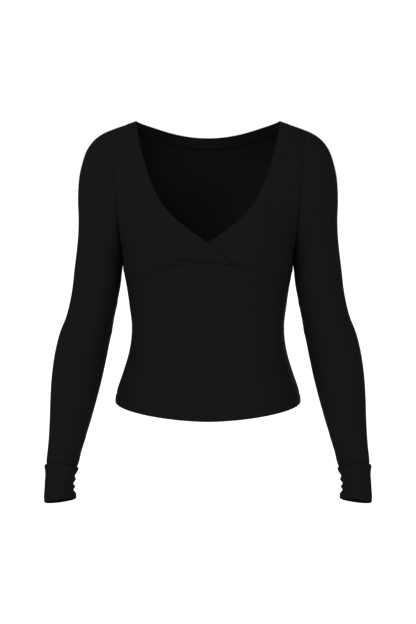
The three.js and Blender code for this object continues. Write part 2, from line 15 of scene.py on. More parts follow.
import bpy
import numpy as np
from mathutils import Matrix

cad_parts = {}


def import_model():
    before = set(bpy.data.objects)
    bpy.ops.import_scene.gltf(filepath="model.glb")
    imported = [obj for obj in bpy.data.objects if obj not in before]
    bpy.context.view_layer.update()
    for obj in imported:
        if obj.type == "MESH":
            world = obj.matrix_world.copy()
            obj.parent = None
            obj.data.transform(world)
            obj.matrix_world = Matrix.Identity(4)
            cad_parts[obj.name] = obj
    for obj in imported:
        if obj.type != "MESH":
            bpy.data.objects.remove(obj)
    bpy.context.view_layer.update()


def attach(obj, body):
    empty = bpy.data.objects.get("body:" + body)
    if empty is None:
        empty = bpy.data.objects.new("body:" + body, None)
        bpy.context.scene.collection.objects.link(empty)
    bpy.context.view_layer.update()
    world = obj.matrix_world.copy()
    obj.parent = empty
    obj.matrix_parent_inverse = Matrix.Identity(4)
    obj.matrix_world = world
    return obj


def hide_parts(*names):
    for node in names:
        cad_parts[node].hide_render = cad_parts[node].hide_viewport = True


LOG = logging.getLogger("wrap_top")
MM = 0.001
Array = np.ndarray


class Side(Enum):
    """Half of the body that a panel lies on; the value is the sign of its Y."""

    FRONT = -1
    BACK = 1


class Slot(Enum):
    """Material slot names."""

    BODY = "body_jersey"
    BAND = "band_jersey"


# Level sections of the body: height, half width, depth to the front, depth to the back
BODY_SECTIONS = np.array([
    (-494, 165.5, 115, 100),
    (-462, 157.7, 110, 95),
    (-427, 145.7, 102, 86),
    (-392, 135.5, 94, 76),
    (-357, 131.1, 90, 71),
    (-322, 134.3, 92, 73),
    (-287, 139, 99, 79),
    (-253, 144.6, 106, 87),
    (-222, 146, 108, 92),
    (-185, 156, 107, 97),
    (-150, 169, 101, 98),
    (-121, 180, 92, 95),
    (-70, 190, 73, 84),
    (-30, 190, 52, 62),
    (10, 190, 36, 34),
], float)

# Seam under the bust: distance from the centre, height
UNDERBUST = np.array([(0, -229), (39, -232.6), (79, -245), (110, -254.5), (144.5, -259)], float)

# Hollow that the seam under the bust draws into the front: distance from the centre, depth
UNDERBUST_HOLLOW = np.array([(0, 1.5), (25, 2.5), (58, 6), (98, 6.5), (128, 4.5), (146, 0)], float)

# How far a body hem sinks in: height over its edge, depth
HEM_SINK = np.array([
    (0, 2.0),
    (2.4, 1.4),
    (4.5, 1.05),
    (7.5, 0.7),
    (9.8, 0.4),
    (11, 0.45),
    (12.2, 1.7),
    (13, 1.65),
    (15, 0.9),
    (17.5, 0.35),
    (21, 0),
], float)

# Free edge of the right front neckband, from the wrap's end up to the shoulder: x, z
FRONT_NECK = np.array([
    (43, -233.5),
    (28.8, -220.4),
    (0, -197),
    (-25.3, -179.1),
    (-50.3, -159.9),
    (-69.5, -140.7),
    (-82.3, -121.6),
    (-92.3, -102.4),
    (-99.6, -83),
    (-105.3, -63.7),
    (-111.4, -44.3),
    (-117.5, -18),
    (-121, 0),
])

# Free edge of the neckband at the back, from the right shoulder to the centre: x, z
BACK_NECK = np.array([(-121, 0), (-117, -2.6), (-99, -9.5), (-57, -22.6), (-20, -28.8), (20, -28.8)])

# Left sleeve, a row for each ring: outer x and z, inner x and z, y, front and back depth, rise of the front
SLEEVE_SECTIONS = np.array([
    (163, -14.7, 146, -222, 0, 56, 58, 0),
    (177.5, -21.6, 147, -227, 0, 56, 58, 0),
    (191.5, -31.4, 147.2, -232, 1, 55, 57, 0),
    (205, -49, 147.3, -236, 2, 53, 56, 0),
    (214, -74, 147.4, -240, 3, 51, 54, 0),
    (219.4, -100, 147.5, -244, 4, 48, 51, 0),
    (221.5, -134, 147.7, -249, 5, 46, 48, 0),
    (220.8, -168, 148, -255, 5, 44, 46, 0),
    (223, -205, 148.9, -265, 5, 43, 45, 0),
    (229, -251, 151.2, -284, 6, 42, 43, 0),
    (234.4, -292, 156.6, -312, 7, 42, 42, 1),
    (243.8, -332, 162.8, -344, 8, 42, 43, 3),
    (255.5, -362, 168.6, -373, 5, 43, 44, 6),
    (263.4, -395, 174.6, -403, -4, 43, 44, 9),
    (268.5, -433, 181.8, -437, -14, 42, 42, 10),
    (270.6, -470, 190.4, -471, -23, 39, 39, 9),
    (271.4, -507, 200.8, -508, -32, 35, 35, 9),
    (273, -543, 212.2, -545, -41, 31, 31, 9),
    (276.4, -579, 222.4, -584, -51, 27.5, 27.5, 9),
])

# Left cuff: drop below its seam, outer x, inner x. A roll, then small folds inside the wrist
CUFF_SECTIONS = np.array([
    (0, 276.4, 222.4),
    (2.5, 278.6, 221.4),
    (6, 279.3, 221.4),
    (11.5, 278.3, 223.4),
    (19.5, 277.7, 227.4),
    (26.5, 278.2, 225.6),
    (35, 278.6, 229.8),
    (41, 278.9, 226.4),
    (47, 279.2, 229.4),
    (53.5, 279.7, 225.4),
    (59, 280, 223.9),
    (66.4, 279.4, 224.6),
])


def between(table: Array, at: Array, column: int = 1) -> Array:
    """Gives smooth values between the rows of a table.

    Args:
        table: Rows whose first column is the ascending key.
        at: Keys at which the value is wanted.
        column: The column that is read.

    Returns:
        The values, in the shape of at.
    """
    key, value = table[:, 0], table[:, column]
    last = len(key) - 1
    low = np.maximum(np.arange(last + 1) - 1, 0)
    high = np.minimum(np.arange(last + 1) + 1, last)
    slope = (value[high] - value[low]) / (key[high] - key[low])
    row = np.clip(np.searchsorted(key[1:-1], at, side="left"), 0, last - 1)
    span = key[row + 1] - key[row]
    t = np.clip((at - key[row]) / span, 0, 1)
    bend = 2 * t**3 - 3 * t**2
    start = value[row] * (1 + bend) + slope[row] * span * (t**3 - 2 * t**2 + t)
    return start - value[row + 1] * bend + slope[row + 1] * span * (t**3 - t**2)


def smooth(at: Array, low: float, high: float) -> Array:
    """Rises smoothly from 0 at low to 1 at high."""
    t = np.clip((at - low) / (high - low), 0, 1)
    return t * t * (3 - 2 * t)


def hump(distance: Array) -> Array:
    """Smooth hump of height 1 within a distance of 1."""
    return np.cos(np.clip(np.abs(distance), 0, 1) * np.pi / 2) ** 2


def unit(vectors: Array) -> Array:
    """Gives the vectors a length of 1."""
    length = np.linalg.norm(vectors, axis=-1, keepdims=True)
    return vectors / np.maximum(length, 1e-9)


def spaced(steps: int, support: float = 0.0) -> Array:
    """Even shares from 0 to 1, with an extra one close to each end.

    Args:
        steps: The number of even steps.
        support: Distance of the extra shares from the ends, or 0 for none.

    Returns:
        The ascending shares.
    """
    even = np.linspace(0, 1, steps + 1)
    if support:
        even = np.concatenate([[0, support], even[1:-1], [1 - support, 1]])
    return even


def neck_curve(rows: Array, count: int = 600) -> Array:
    """Draws a smooth curve through places, as a tailor's curve passes through its marks.

    Args:
        rows: The places, x and z.
        count: The number of steps in the answer.

    Returns:
        The places on the curve, evenly spread over the spans between the marks.
    """
    ends = np.vstack([2 * rows[0] - rows[1], rows, 2 * rows[-1] - rows[-2]])
    at = np.linspace(0, len(rows) - 1, count + 1)
    k = np.minimum(at.astype(int), len(rows) - 2)
    t = (at - k)[:, None]
    p0, p1, p2, p3 = (ends[k + step] for step in range(4))
    d0, d1, d2 = (np.linalg.norm(b - a, axis=1)[:, None] ** 0.5 for a, b in ((p0, p1), (p1, p2), (p2, p3)))
    start = ((p1 - p0) / d0 - (p2 - p0) / (d0 + d1) + (p2 - p1) / d1) * d1
    end = ((p2 - p1) / d1 - (p3 - p1) / (d1 + d2) + (p3 - p2) / d2) * d1
    return p1 + start * t + (3 * (p2 - p1) - 2 * start - end) * t**2 + (2 * (p1 - p2) + start + end) * t**3


@dataclass(frozen=True)
class Crease:
    """A soft ridge or trough along a path on the cloth.

    The path is x and z on the body, or turns and rings on a sleeve.
    """

    path: tuple[tuple[float, float], ...]
    half_width: float
    height: float

    def relief(self, across: Array, along: Array, scale: tuple[float, float] = (1.0, 1.0)) -> Array:
        """Gives how far the cloth stands out.

        Args:
            across: First coordinate of each point of the cloth.
            along: Second coordinate of each point of the cloth.
            scale: Millimetres for a step of each coordinate.

        Returns:
            The heights in millimetres.
        """
        marks = np.array(self.path) * scale
        place = np.stack([across * scale[0], along * scale[1]], -1)
        lengths = np.linalg.norm(np.diff(marks, axis=0), axis=1)
        total = lengths.sum()
        nearest = np.full(across.shape, np.inf)
        share = np.zeros(across.shape)
        done = 0.0
        for start, end, length in zip(marks[:-1], marks[1:], lengths):
            run = np.clip(((place - start) @ (end - start)) / length**2, 0, 1)
            away = np.linalg.norm(place - start - run[..., None] * (end - start), axis=-1)
            closer = away < nearest
            nearest = np.where(closer, away, nearest)
            share = np.where(closer, (done + run * length) / total, share)
            done += length
        taper = np.sin(np.pi * np.clip(share, 0.02, 0.98)) ** 0.7
        return self.height * taper * hump(nearest / self.half_width)


FRONT_CREASES = (
    # Gathers of the right cup above the seam under the bust
    Crease(((-62, -222.3), (-45, -225.6), (-28, -228.3), (-7, -229.9)), 3.0, -4.6),
    Crease(((-52, -226.2), (-40, -229.0), (-28, -231.0), (-12, -231.4)), 3.0, -4.0),
    Crease(((-66, -212), (-42, -216.5), (-14, -222)), 7, 1.8),
    Crease(((4, -227), (13.9, -229.3), (21, -230.5)), 2.8, -1.8),
    Crease(((-96, -238), (-88, -228), (-82, -214)), 6, 0.7),
    Crease(((-118, -247), (-112, -236), (-108, -224)), 5, 0.6),
    # The same on the left cup, shorter
    Crease(((52, -221), (62, -226), (74, -236)), 5, -0.9),
    Crease(((94, -238), (88, -229), (84, -217)), 6, 0.7),
    Crease(((121, -248), (114, -238), (109, -227)), 5, 0.6),
    # Drags from the armholes
    Crease(((-146, -196), (-136, -190), (-124, -181)), 6, 1.0),
    Crease(((-147, -181), (-139, -174), (-131, -163)), 5, -0.8),
    Crease(((-145, -216), (-133, -212), (-118, -207)), 5, 0.8),
    Crease(((146, -198), (135, -191), (125, -180)), 6, 1.0),
    Crease(((147, -180), (140, -171), (133, -160)), 5, -0.8),
    Crease(((145, -217), (134, -214), (120, -210)), 5, 0.8),
)
MIDRIFF_CREASES = (
    Crease(((-131, -352), (-112, -349), (-88, -351)), 7, 1.0),
    Crease(((-131, -371), (-116, -373), (-97, -371)), 6, -0.8),
    Crease(((132, -356), (115, -352), (96, -355)), 7, 1.0),
    Crease(((133, -374), (119, -377), (103, -374)), 6, -0.8),
    Crease(((-46, -246), (-30, -262), (-24, -284)), 8, 0.5),
    Crease(((50, -248), (36, -266), (31, -290)), 8, 0.5),
)
BACK_CREASES = (
    Crease(((-134, -318), (-96, -322), (-52, -316)), 9, 1.6),
    Crease(((136, -312), (92, -318), (58, -311)), 8, 1.3),
    Crease(((-133, -383), (-98, -379), (-60, -385)), 8, 1.5),
    Crease(((132, -379), (104, -376), (70, -381)), 8, 1.3),
    Crease(((-40, -300), (6, -303), (44, -298)), 10, 0.9),
    Crease(((-146, -206), (-128, -198), (-106, -186)), 7, 1.2),
    Crease(((146, -208), (126, -199), (103, -188)), 7, 1.1),
    Crease(((-148, -182), (-134, -170), (-120, -152)), 6, -0.9),
    Crease(((148, -184), (135, -173), (121, -156)), 6, -0.9),
    Crease(((-24, -352), (10, -348), (52, -351)), 7, -0.8),
)
# On a sleeve: turn from the outer line towards the front in radians, ring of the table
SLEEVE_CREASES = (
    Crease(((3.0, 1.6), (2.45, 2.6), (1.95, 3.3)), 7, 1.1),
    Crease(((2.9, 3.0), (2.5, 3.9), (2.15, 4.5)), 6, -1.0),
    Crease(((3.3, 1.7), (3.85, 2.5), (4.3, 3.1)), 7, 1.1),
    Crease(((3.4, 3.2), (3.8, 4.0), (4.2, 4.7)), 6, -0.9),
    Crease(((3.5, 9.9), (2.9, 10.2), (2.2, 10.0)), 8, 1.2),
    Crease(((3.4, 10.7), (2.8, 11.0), (2.0, 10.8)), 7, -1.1),
    Crease(((3.6, 11.5), (2.9, 11.7), (2.3, 11.4)), 8, 1.1),
    Crease(((3.3, 12.4), (2.8, 12.5), (2.3, 12.2)), 6, -0.7),
    Crease(((2.6, 16.6), (3.1, 16.9), (3.7, 16.7)), 6, 0.8),
    Crease(((2.4, 17.4), (3.1, 17.5), (3.9, 17.3)), 5, -0.8),
)


@dataclass(frozen=True)
class BodyForm:
    """The surface that the body's panels lie on, and the lines that cut it."""

    neck_x: float = 121.0
    shoulder_slope: float = 0.35
    shoulder_round: float = 65.0
    power: float = 2.4
    cup_x: float = 78.0
    cup_z: float = -176.0
    cup_radius: float = 70.0
    cup_height: float = 8.0
    wrap_lift: float = 3.2
    lift_starts: float = -95.0
    lift_full: float = -43.0
    lift_at_seam: float = 2.1
    lift_settles: float = 9.0
    band_width: float = 21.0
    hollow_below_seam: float = 18.0
    hollow_reach_up: float = 40.0
    hollow_reach_down: float = 95.0
    seam_draw: float = 0.28
    draw_reach_up: float = 12.0
    draw_reach_down: float = 40.0
    armhole_top: tuple[float, float] = (163.0, -14.7)
    armhole_under: tuple[float, float] = (146.0, -222.0)
    hem_side_z: float = -480.0
    hem_curve: float = 1.5
    back_folds: tuple[tuple[float, float, float, float], ...] = (
        (-338.0, 11.0, 3.2, 118.0),
        (-362.0, 10.0, 2.2, 96.0),
    )

    def half_width(self, z: Array) -> Array:
        """Half width of the body at a height."""
        return between(BODY_SECTIONS, z, 1)

    def depth(self, z: Array, side: Side) -> Array:
        """Depth of the body at a height."""
        return between(BODY_SECTIONS, z, 2 if side is Side.FRONT else 3)

    def ridge(self, x: Array) -> Array:
        """Height of the shoulder's ridge."""
        return (self.neck_x - np.abs(x)) * self.shoulder_slope

    def roll(self, x: Array, z: Array) -> Array:
        """0 on the plain body, rising to 1 on the shoulder's ridge."""
        return np.clip(1 - (self.ridge(x) - z) / self.shoulder_round, 0, 1)

    def point(self, place: Array, side: Side, least: float = 0.0) -> Array:
        """Puts places on the body.

        Args:
            place: x and z of each place.
            side: Front or back.
            least: The least distance from the middle plane.

        Returns:
            The points, x, y and z.
        """
        x = place[..., 0]
        z = np.minimum(place[..., 1], self.ridge(x))
        across = np.maximum(0, 1 - (np.abs(x) / self.half_width(z)) ** self.power) ** (1 / self.power)
        deep = self.depth(z, side) * across * np.sqrt(1 - self.roll(x, z) ** 2)
        return np.stack([x, side.value * np.maximum(deep, least), z], -1)

    def outward(self, points: Array, side: Side) -> Array:
        """Directions that point straight out of the body."""
        x, y, z = np.moveaxis(points, -1, 0)
        step = 0.5

        def level(ax: Array, ay: Array, az: Array) -> Array:
            """The section's equation, 1 on its line."""
            wide = np.abs(ax) / self.half_width(az)
            deep = np.abs(ay) / self.depth(az, side)
            return wide**self.power + deep**self.power

        roll = self.roll(x, z)
        top = 2 * roll / self.shoulder_round
        flat = 1 - roll**2
        dx = level(x + step, y, z) - level(x - step, y, z)
        dy = level(x, y + step, z) - level(x, y - step, z)
        dz = level(x, y, z + step) - level(x, y, z - step)
        return unit(np.stack([
            dx * flat + top * self.shoulder_slope * np.sign(x),
            dy,
            dz * flat + top,
        ], -1))

    def angle(self, place: Array, side: Side) -> Array:
        """Angle round the body, 0 at the centre and a right angle at the side."""
        share = np.minimum(1, np.abs(place[..., 0]) / self.half_width(place[..., 1]))
        return np.sign(place[..., 0]) * np.arcsin(share ** (self.power / 2))

    def width_at(self, angle: Array, z: Array) -> Array:
        """The x of an angle round the body at a height."""
        share = np.abs(np.sin(angle)) ** (2 / self.power)
        return np.sign(angle) * self.half_width(z) * share

    def underbust(self, x: Array) -> Array:
        """Height of the seam under the bust."""
        return between(UNDERBUST, np.abs(x))

    def lift(self, place: Array) -> Array:
        """How far the upper front stands out over the lower one."""
        x, z = place[..., 0], place[..., 1]
        settled = smooth(z - self.underbust(x), 0, self.lift_settles)
        height = self.lift_at_seam + (self.wrap_lift - self.lift_at_seam) * settled
        return height * smooth(x, self.lift_starts, self.lift_full)

    def fullness(self, place: Array, side: Side) -> Array:
        """How far the cut of the cups, or the folds of the back, stand out of the bare body."""
        x, z = place[..., 0], place[..., 1]
        if side is Side.FRONT:
            full = self.cup_height * hump(np.hypot(np.abs(x) - self.cup_x, z - self.cup_z) / self.cup_radius)
            over_seam = z - self.underbust(x)
            up = over_seam + self.hollow_below_seam
            hollow = hump(up / np.where(up > 0, self.hollow_reach_up, self.hollow_reach_down))
            drawn = hump(over_seam / np.where(over_seam > 0, self.draw_reach_up, self.draw_reach_down))
            return full - between(UNDERBUST_HOLLOW, np.abs(x)) * (hollow + self.seam_draw * drawn)
        height = np.zeros(x.shape)
        for middle, half, high, reach in self.back_folds:
            height += high * hump((z - middle) / half) * hump(x / reach) ** 0.5
        return height

    def shoulder(self, x: Array) -> Array:
        """Places on the shoulder seam."""
        return np.stack([x, self.ridge(x)], -1)

    def armhole(self, up: Array) -> Array:
        """Places on the right armhole, from -1 at the underarm to 1 at the shoulder."""
        top, under = np.array(self.armhole_top), np.array(self.armhole_under)
        place = (top + under) / 2 + up[..., None] * (top - under) / 2
        return place * (-1, 1)

    def hem(self, angle: Array, centre_z: float) -> Array:
        """Places on the hem's edge, which dips from the sides to the centre."""
        share = np.abs(np.sin(angle)) ** (2 / self.power)
        z = centre_z + (self.hem_side_z - centre_z) * share**self.hem_curve
        return np.stack([self.width_at(angle, z), z], -1)


@dataclass
class Line:
    """A line on the body, that can be read at any share of its length."""

    places: Array
    shares: Array

    @classmethod
    def over(cls, form: BodyForm, places: Array, side: Side) -> Line:
        """Measures a line over the body's surface."""
        points = form.point(places, side)
        steps = np.linalg.norm(np.diff(points, axis=0), axis=1)
        length = np.concatenate([[0], np.cumsum(steps)])
        return cls(places, length / length[-1])

    @classmethod
    def round_body(cls, form: BodyForm, places: Array, side: Side) -> Line:
        """Measures a line by the angle round the body."""
        angle = form.angle(places, side)
        return cls(places, (angle - angle[0]) / (angle[-1] - angle[0]))

    def at(self, shares: Array) -> Array:
        """The places at shares of the line."""
        return np.stack([np.interp(shares, self.shares, column) for column in self.places.T], -1)


def band_seam(form: BodyForm, edge: Array, side: Side) -> Array:
    """Finds the band's seam, one band width away from its free edge over the body.

    Args:
        form: The body.
        edge: Marks on the free edge.
        side: Front or back.

    Returns:
        A place beside each mark.
    """
    fine = 2000 * (len(edge) - 1)
    curve = neck_curve(edge, fine)
    at = np.arange(len(edge)) * 2000
    step = unit(curve[np.minimum(at + 1, fine)] - curve[np.maximum(at - 1, 0)])
    point = form.point(edge, side)
    ahead = form.point(edge + step, side)
    across = unit(np.cross(ahead - point, form.outward(point, side)))
    return (point - across * form.band_width)[:, [0, 2]]


@dataclass
class BandLines:
    """The neckband's seam and free edge, at the front and at the back."""

    form: BodyForm
    wrap_reach: float = 18.5
    run_out: float = 8.0
    front_seam: Line = field(init=False)
    front_edge: Line = field(init=False)
    back_seam: Line = field(init=False)
    back_edge: Line = field(init=False)
    shoulder_x: float = field(init=False)

    def __post_init__(self) -> None:
        """Draws the four lines."""
        form = self.form
        self.shoulder_x = form.neck_x + form.band_width * math.cos(math.atan(form.shoulder_slope))
        tip = form.shoulder(np.array([-self.shoulder_x]))
        beside = band_seam(form, FRONT_NECK, Side.FRONT)[1:-1]
        beside = beside[beside[:, 1] > form.underbust(beside[:, 0]) + self.run_out]
        end = np.array([[self.wrap_reach, float(form.underbust(np.array(self.wrap_reach)))]])
        self.front_seam = Line.over(form, neck_curve(np.vstack([end, beside, tip])), Side.FRONT)
        self.front_edge = Line.over(form, neck_curve(FRONT_NECK), Side.FRONT)
        beside = band_seam(form, BACK_NECK, Side.BACK)[1:-1]
        mirror = (beside * (-1, 1))[::-1]
        self.back_seam = Line.over(form, neck_curve(np.vstack([tip, beside, mirror, tip * (-1, 1)])), Side.BACK)
        half = BACK_NECK[:-1]
        self.back_edge = Line.over(form, neck_curve(np.vstack([half, (half * (-1, 1))[::-1]])), Side.BACK)


def fill_panel(form: BodyForm, side: Side, u: Array, v: Array, borders: tuple[Array, Array, Array, Array]) -> Array:
    """Fills a four-sided panel between its border lines.

    Args:
        form: The body.
        side: Front or back.
        u: Shares of the columns.
        v: Shares of the rows.
        borders: Places on the bottom and the top at u, and on the first and the last column at v.

    Returns:
        The places, by row and column.
    """
    low, high, start, end = (np.stack([form.angle(line, side), line[:, 1]], -1) for line in borders)
    across, up = u[None, :, None], v[:, None, None]
    blend = (1 - up) * low + up * high + (1 - across) * start[:, None] + across * end[:, None]
    blend = blend - (1 - across) * (1 - up) * low[0] - across * (1 - up) * low[-1]
    blend = blend - (1 - across) * up * high[0] - across * up * high[-1]
    z = blend[..., 1]
    return np.stack([form.width_at(blend[..., 0], z), z], -1)


def normals(points: Array, closed: bool, towards: Array) -> Array:
    """Finds the directions square to a grid of points.

    Args:
        points: The grid, by row and column.
        closed: True where each row closes on itself.
        towards: Directions on the side that the answer points to.

    Returns:
        A direction of length 1 for each point.
    """
    up = np.gradient(points, axis=0)
    if closed:
        across = np.roll(points, -1, 1) - np.roll(points, 1, 1)
    else:
        across = np.gradient(points, axis=1)
    square = unit(np.cross(across, up))
    return square * np.where(np.sum(square * towards, -1, keepdims=True) < 0, -1, 1)


def fold_over(points: Array, square: Array, radius: float, depth: int, steps: int = 5) -> Array:
    """Turns an edge of the cloth over to the inside.

    Args:
        points: Rows of the outer layer, the first one a radius short of the fold.
        square: Directions out of the cloth.
        radius: Radius of the fold.
        depth: The number of rows that the inner layer repeats.
        steps: Rows round the fold.

    Returns:
        The added rows, from the raw edge inside to the fold.
    """
    ahead = points[0] - points[1]
    ahead = unit(ahead - np.sum(ahead * square[0], -1, keepdims=True) * square[0])
    middle = points[0] - square[0] * radius
    turn = np.linspace(math.pi, 0, steps + 1)[:-1]
    bend = [middle + radius * (math.cos(a) * square[0] + math.sin(a) * ahead) for a in turn]
    inner = points[1:depth] - square[1:depth] * 2 * radius
    return np.concatenate([inner[::-1], np.array(bend)])


@dataclass
class Cloth:
    """One cut piece as a grid of points, before it is made a mesh."""

    name: str
    points: Array
    square: Array
    closed: bool = False
    seams: tuple[bool, bool, bool, bool] = (False, False, False, False)
    first_seam_row: int = 0
    thickness: float = 1.0
    skirt: float = 1.8
    smoothing_loss: float = 0.2
    edge_dip: float = 0.5
    edge_width: float = 5.0

    def borders(self) -> list[tuple[Array, bool]]:
        """Runs of grid places along the seams: bottom, last column, top, first column."""
        rows, columns = self.points.shape[:2]
        index = np.arange(rows * columns).reshape(rows, columns)
        bottom, right, top, left = self.seams
        if self.closed:
            return [(index[row], True) for row, wanted in ((0, bottom), (rows - 1, top)) if wanted]
        start = self.first_seam_row
        sides = [
            (bottom, index[0, :]),
            (right, index[start:, -1]),
            (top, index[-1, ::-1]),
            (left, index[start:, 0][::-1]),
        ]
        if all(self.seams):
            run = np.concatenate([line[:-1] for _, line in sides])
            return [(run, True)]
        runs: list[Array] = []
        for wanted, line in sides:
            if not wanted:
                continue
            if runs and runs[-1][-1] == line[0]:
                runs[-1] = np.concatenate([runs[-1], line[1:]])
            else:
                runs.append(line)
        return [(run, False) for run in runs]

    def seam_distance(self) -> Array:
        """Distance of each point from the nearest sewn edge, measured along rows and columns."""
        points = self.points
        up = np.linalg.norm(np.diff(points, axis=0), axis=-1)
        across = np.linalg.norm(np.diff(points, axis=1), axis=-1)
        low = np.concatenate([np.zeros((1, points.shape[1])), np.cumsum(up, 0)], 0)
        left = np.concatenate([np.zeros((points.shape[0], 1)), np.cumsum(across, 1)], 1)
        bottom_seam, right_seam, top_seam, left_seam = self.seams
        nearest = np.full(points.shape[:2], 1e3)
        for wanted, distance in (
            (bottom_seam, low),
            (top_seam, low[-1:] - low),
            (left_seam and not self.closed, left),
            (right_seam and not self.closed, left[:, -1:] - left),
        ):
            if wanted:
                nearest = np.minimum(nearest, distance)
        return nearest

    def uv(self) -> Array:
        """Lengths along the cloth in metres, for the knit's pattern."""
        grid = self.points
        if self.closed:
            grid = np.concatenate([grid, grid[:, :1]], 1)
        across = np.linalg.norm(np.diff(grid, axis=1), axis=-1)
        around = np.concatenate([np.zeros((len(grid), 1)), np.cumsum(across, 1)], 1)
        if self.closed:
            around = around / around[:, -1:] * np.mean(around[:, -1])
        else:
            around = around - around[:, grid.shape[1] // 2][:, None]
        up = np.linalg.norm(np.diff(grid, axis=0), axis=-1)
        along = np.concatenate([np.zeros((1, grid.shape[1])), np.cumsum(up, 0)], 0)
        return np.stack([around, along], -1) * MM

    def build(self, finish: bpy.types.Material, nodes: tuple[str, ...]) -> bpy.types.Object:
        """Makes the mesh: the sheet, its turned seam edges, its wall and a smoothing.

        Args:
            finish: The material.
            nodes: CAD nodes that it stands for.

        Returns:
            The finished object.
        """
        rows, columns = self.points.shape[:2]
        relief = self.smoothing_loss - self.edge_dip * hump(self.seam_distance() / self.edge_width)
        self.points = self.points + self.square * relief[..., None]
        vertices = [self.points.reshape(-1, 3)]
        square = self.square.reshape(-1, 3)
        uv = self.uv()
        spans = columns if self.closed else columns - 1
        faces: list[tuple[int, ...]] = []
        corners: list[Array] = []
        row, column = (grid.ravel() for grid in np.meshgrid(np.arange(rows - 1), np.arange(spans), indexing="ij"))
        around = [(0, 0), (0, 1), (1, 1), (1, 0)]
        quads = np.stack([(row + r) * columns + (column + c) % columns for r, c in around], -1)
        corners.append(np.stack([uv[row + r, column + c] for r, c in around], 1))
        faces.extend(map(tuple, quads.tolist()))
        flat_uv = uv[:, :columns].reshape(-1, 2)
        count = rows * columns
        for run, loop in self.borders():
            before = run
            for depth in (0.45 * self.skirt, self.skirt):
                place = self.points.reshape(-1, 3)[run] - square[run] * depth
                vertices.append(place)
                after = np.arange(count, count + len(run))
                count += len(run)
                pairs = np.arange(len(run) if loop else len(run) - 1)
                ahead = (pairs + 1) % len(run)
                strip = np.stack([before[ahead], before[pairs], after[pairs], after[ahead]], -1)
                faces.extend(map(tuple, strip.tolist()))
                corners.append(flat_uv[np.stack([run[ahead], run[pairs], run[pairs], run[ahead]], -1)])
                before = after
        mesh = bpy.data.meshes.new(self.name)
        mesh.from_pydata((np.concatenate(vertices) * MM).tolist(), [], faces)
        layer = mesh.uv_layers.new(name="cloth")
        layer.data.foreach_set("uv", np.concatenate(corners).reshape(-1).astype(np.float32))
        obj = bpy.data.objects.new(self.name, mesh)
        bpy.context.scene.collection.objects.link(obj)
        if self.turned_in(quads):
            mesh.flip_normals()
        only(obj)
        solidify = obj.modifiers.new("wall", "SOLIDIFY")
        solidify.thickness = self.thickness * MM
        solidify.offset = -1
        solidify.use_even_offset = False
        solidify.use_quality_normals = True
        bpy.ops.object.modifier_apply(modifier=solidify.name)
        subdivide = obj.modifiers.new("smooth", "SUBSURF")
        subdivide.levels = subdivide.render_levels = 1
        bpy.ops.object.modifier_apply(modifier=subdivide.name)
        bpy.ops.object.shade_smooth()
        dress(obj, finish)
        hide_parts(*nodes)
        LOG.info("%s: %d faces", self.name, len(obj.data.polygons))
        return obj

    def turned_in(self, quads: Array) -> bool:
        """True where most of the sheet's faces point into the body."""
        flat = self.points.reshape(-1, 3)
        a, b, d = flat[quads[:, 0]], flat[quads[:, 1]], flat[quads[:, 3]]
        facing = np.sum(np.cross(b - a, d - a) * self.square.reshape(-1, 3)[quads[:, 0]], -1)
        return float(facing.sum()) < 0


def only(obj: bpy.types.Object) -> None:
    """Selects one object alone and makes it active."""
    bpy.ops.object.select_all(action="DESELECT")
    obj.select_set(True)
    bpy.context.view_layer.objects.active = obj


def dress(obj: bpy.types.Object, finish: bpy.types.Material) -> None:
    """Gives an object its only material."""
    obj.data.materials.clear()
    obj.data.materials.append(finish)


def linear(hex_colour: str) -> tuple[float, float, float, float]:
    """Turns an sRGB hex value into linear colour."""
    parts = [int(hex_colour[k:k + 2], 16) / 255 for k in (1, 3, 5)]
    red, green, blue = (c / 12.92 if c <= 0.04045 else ((c + 0.055) / 1.055) ** 2.4 for c in parts)
    return red, green, blue, 1.0


def node(tree: bpy.types.NodeTree, kind: str, values: dict | None = None, **settings: object) -> bpy.types.Node:
    """Adds a node with its settings and its inputs' values or links.

    Args:
        tree: The node tree.
        kind: The node's type.
        values: Value or linked socket for each input, by name or number.
        settings: The node's own settings.

    Returns:
        The node.
    """
    added = tree.nodes.new(kind)
    for name, value in settings.items():
        setattr(added, name, value)
    for name, value in (values or {}).items():
        if isinstance(value, bpy.types.NodeSocket):
            tree.links.new(value, added.inputs[name])
        else:
            added.inputs[name].default_value = value
    return added


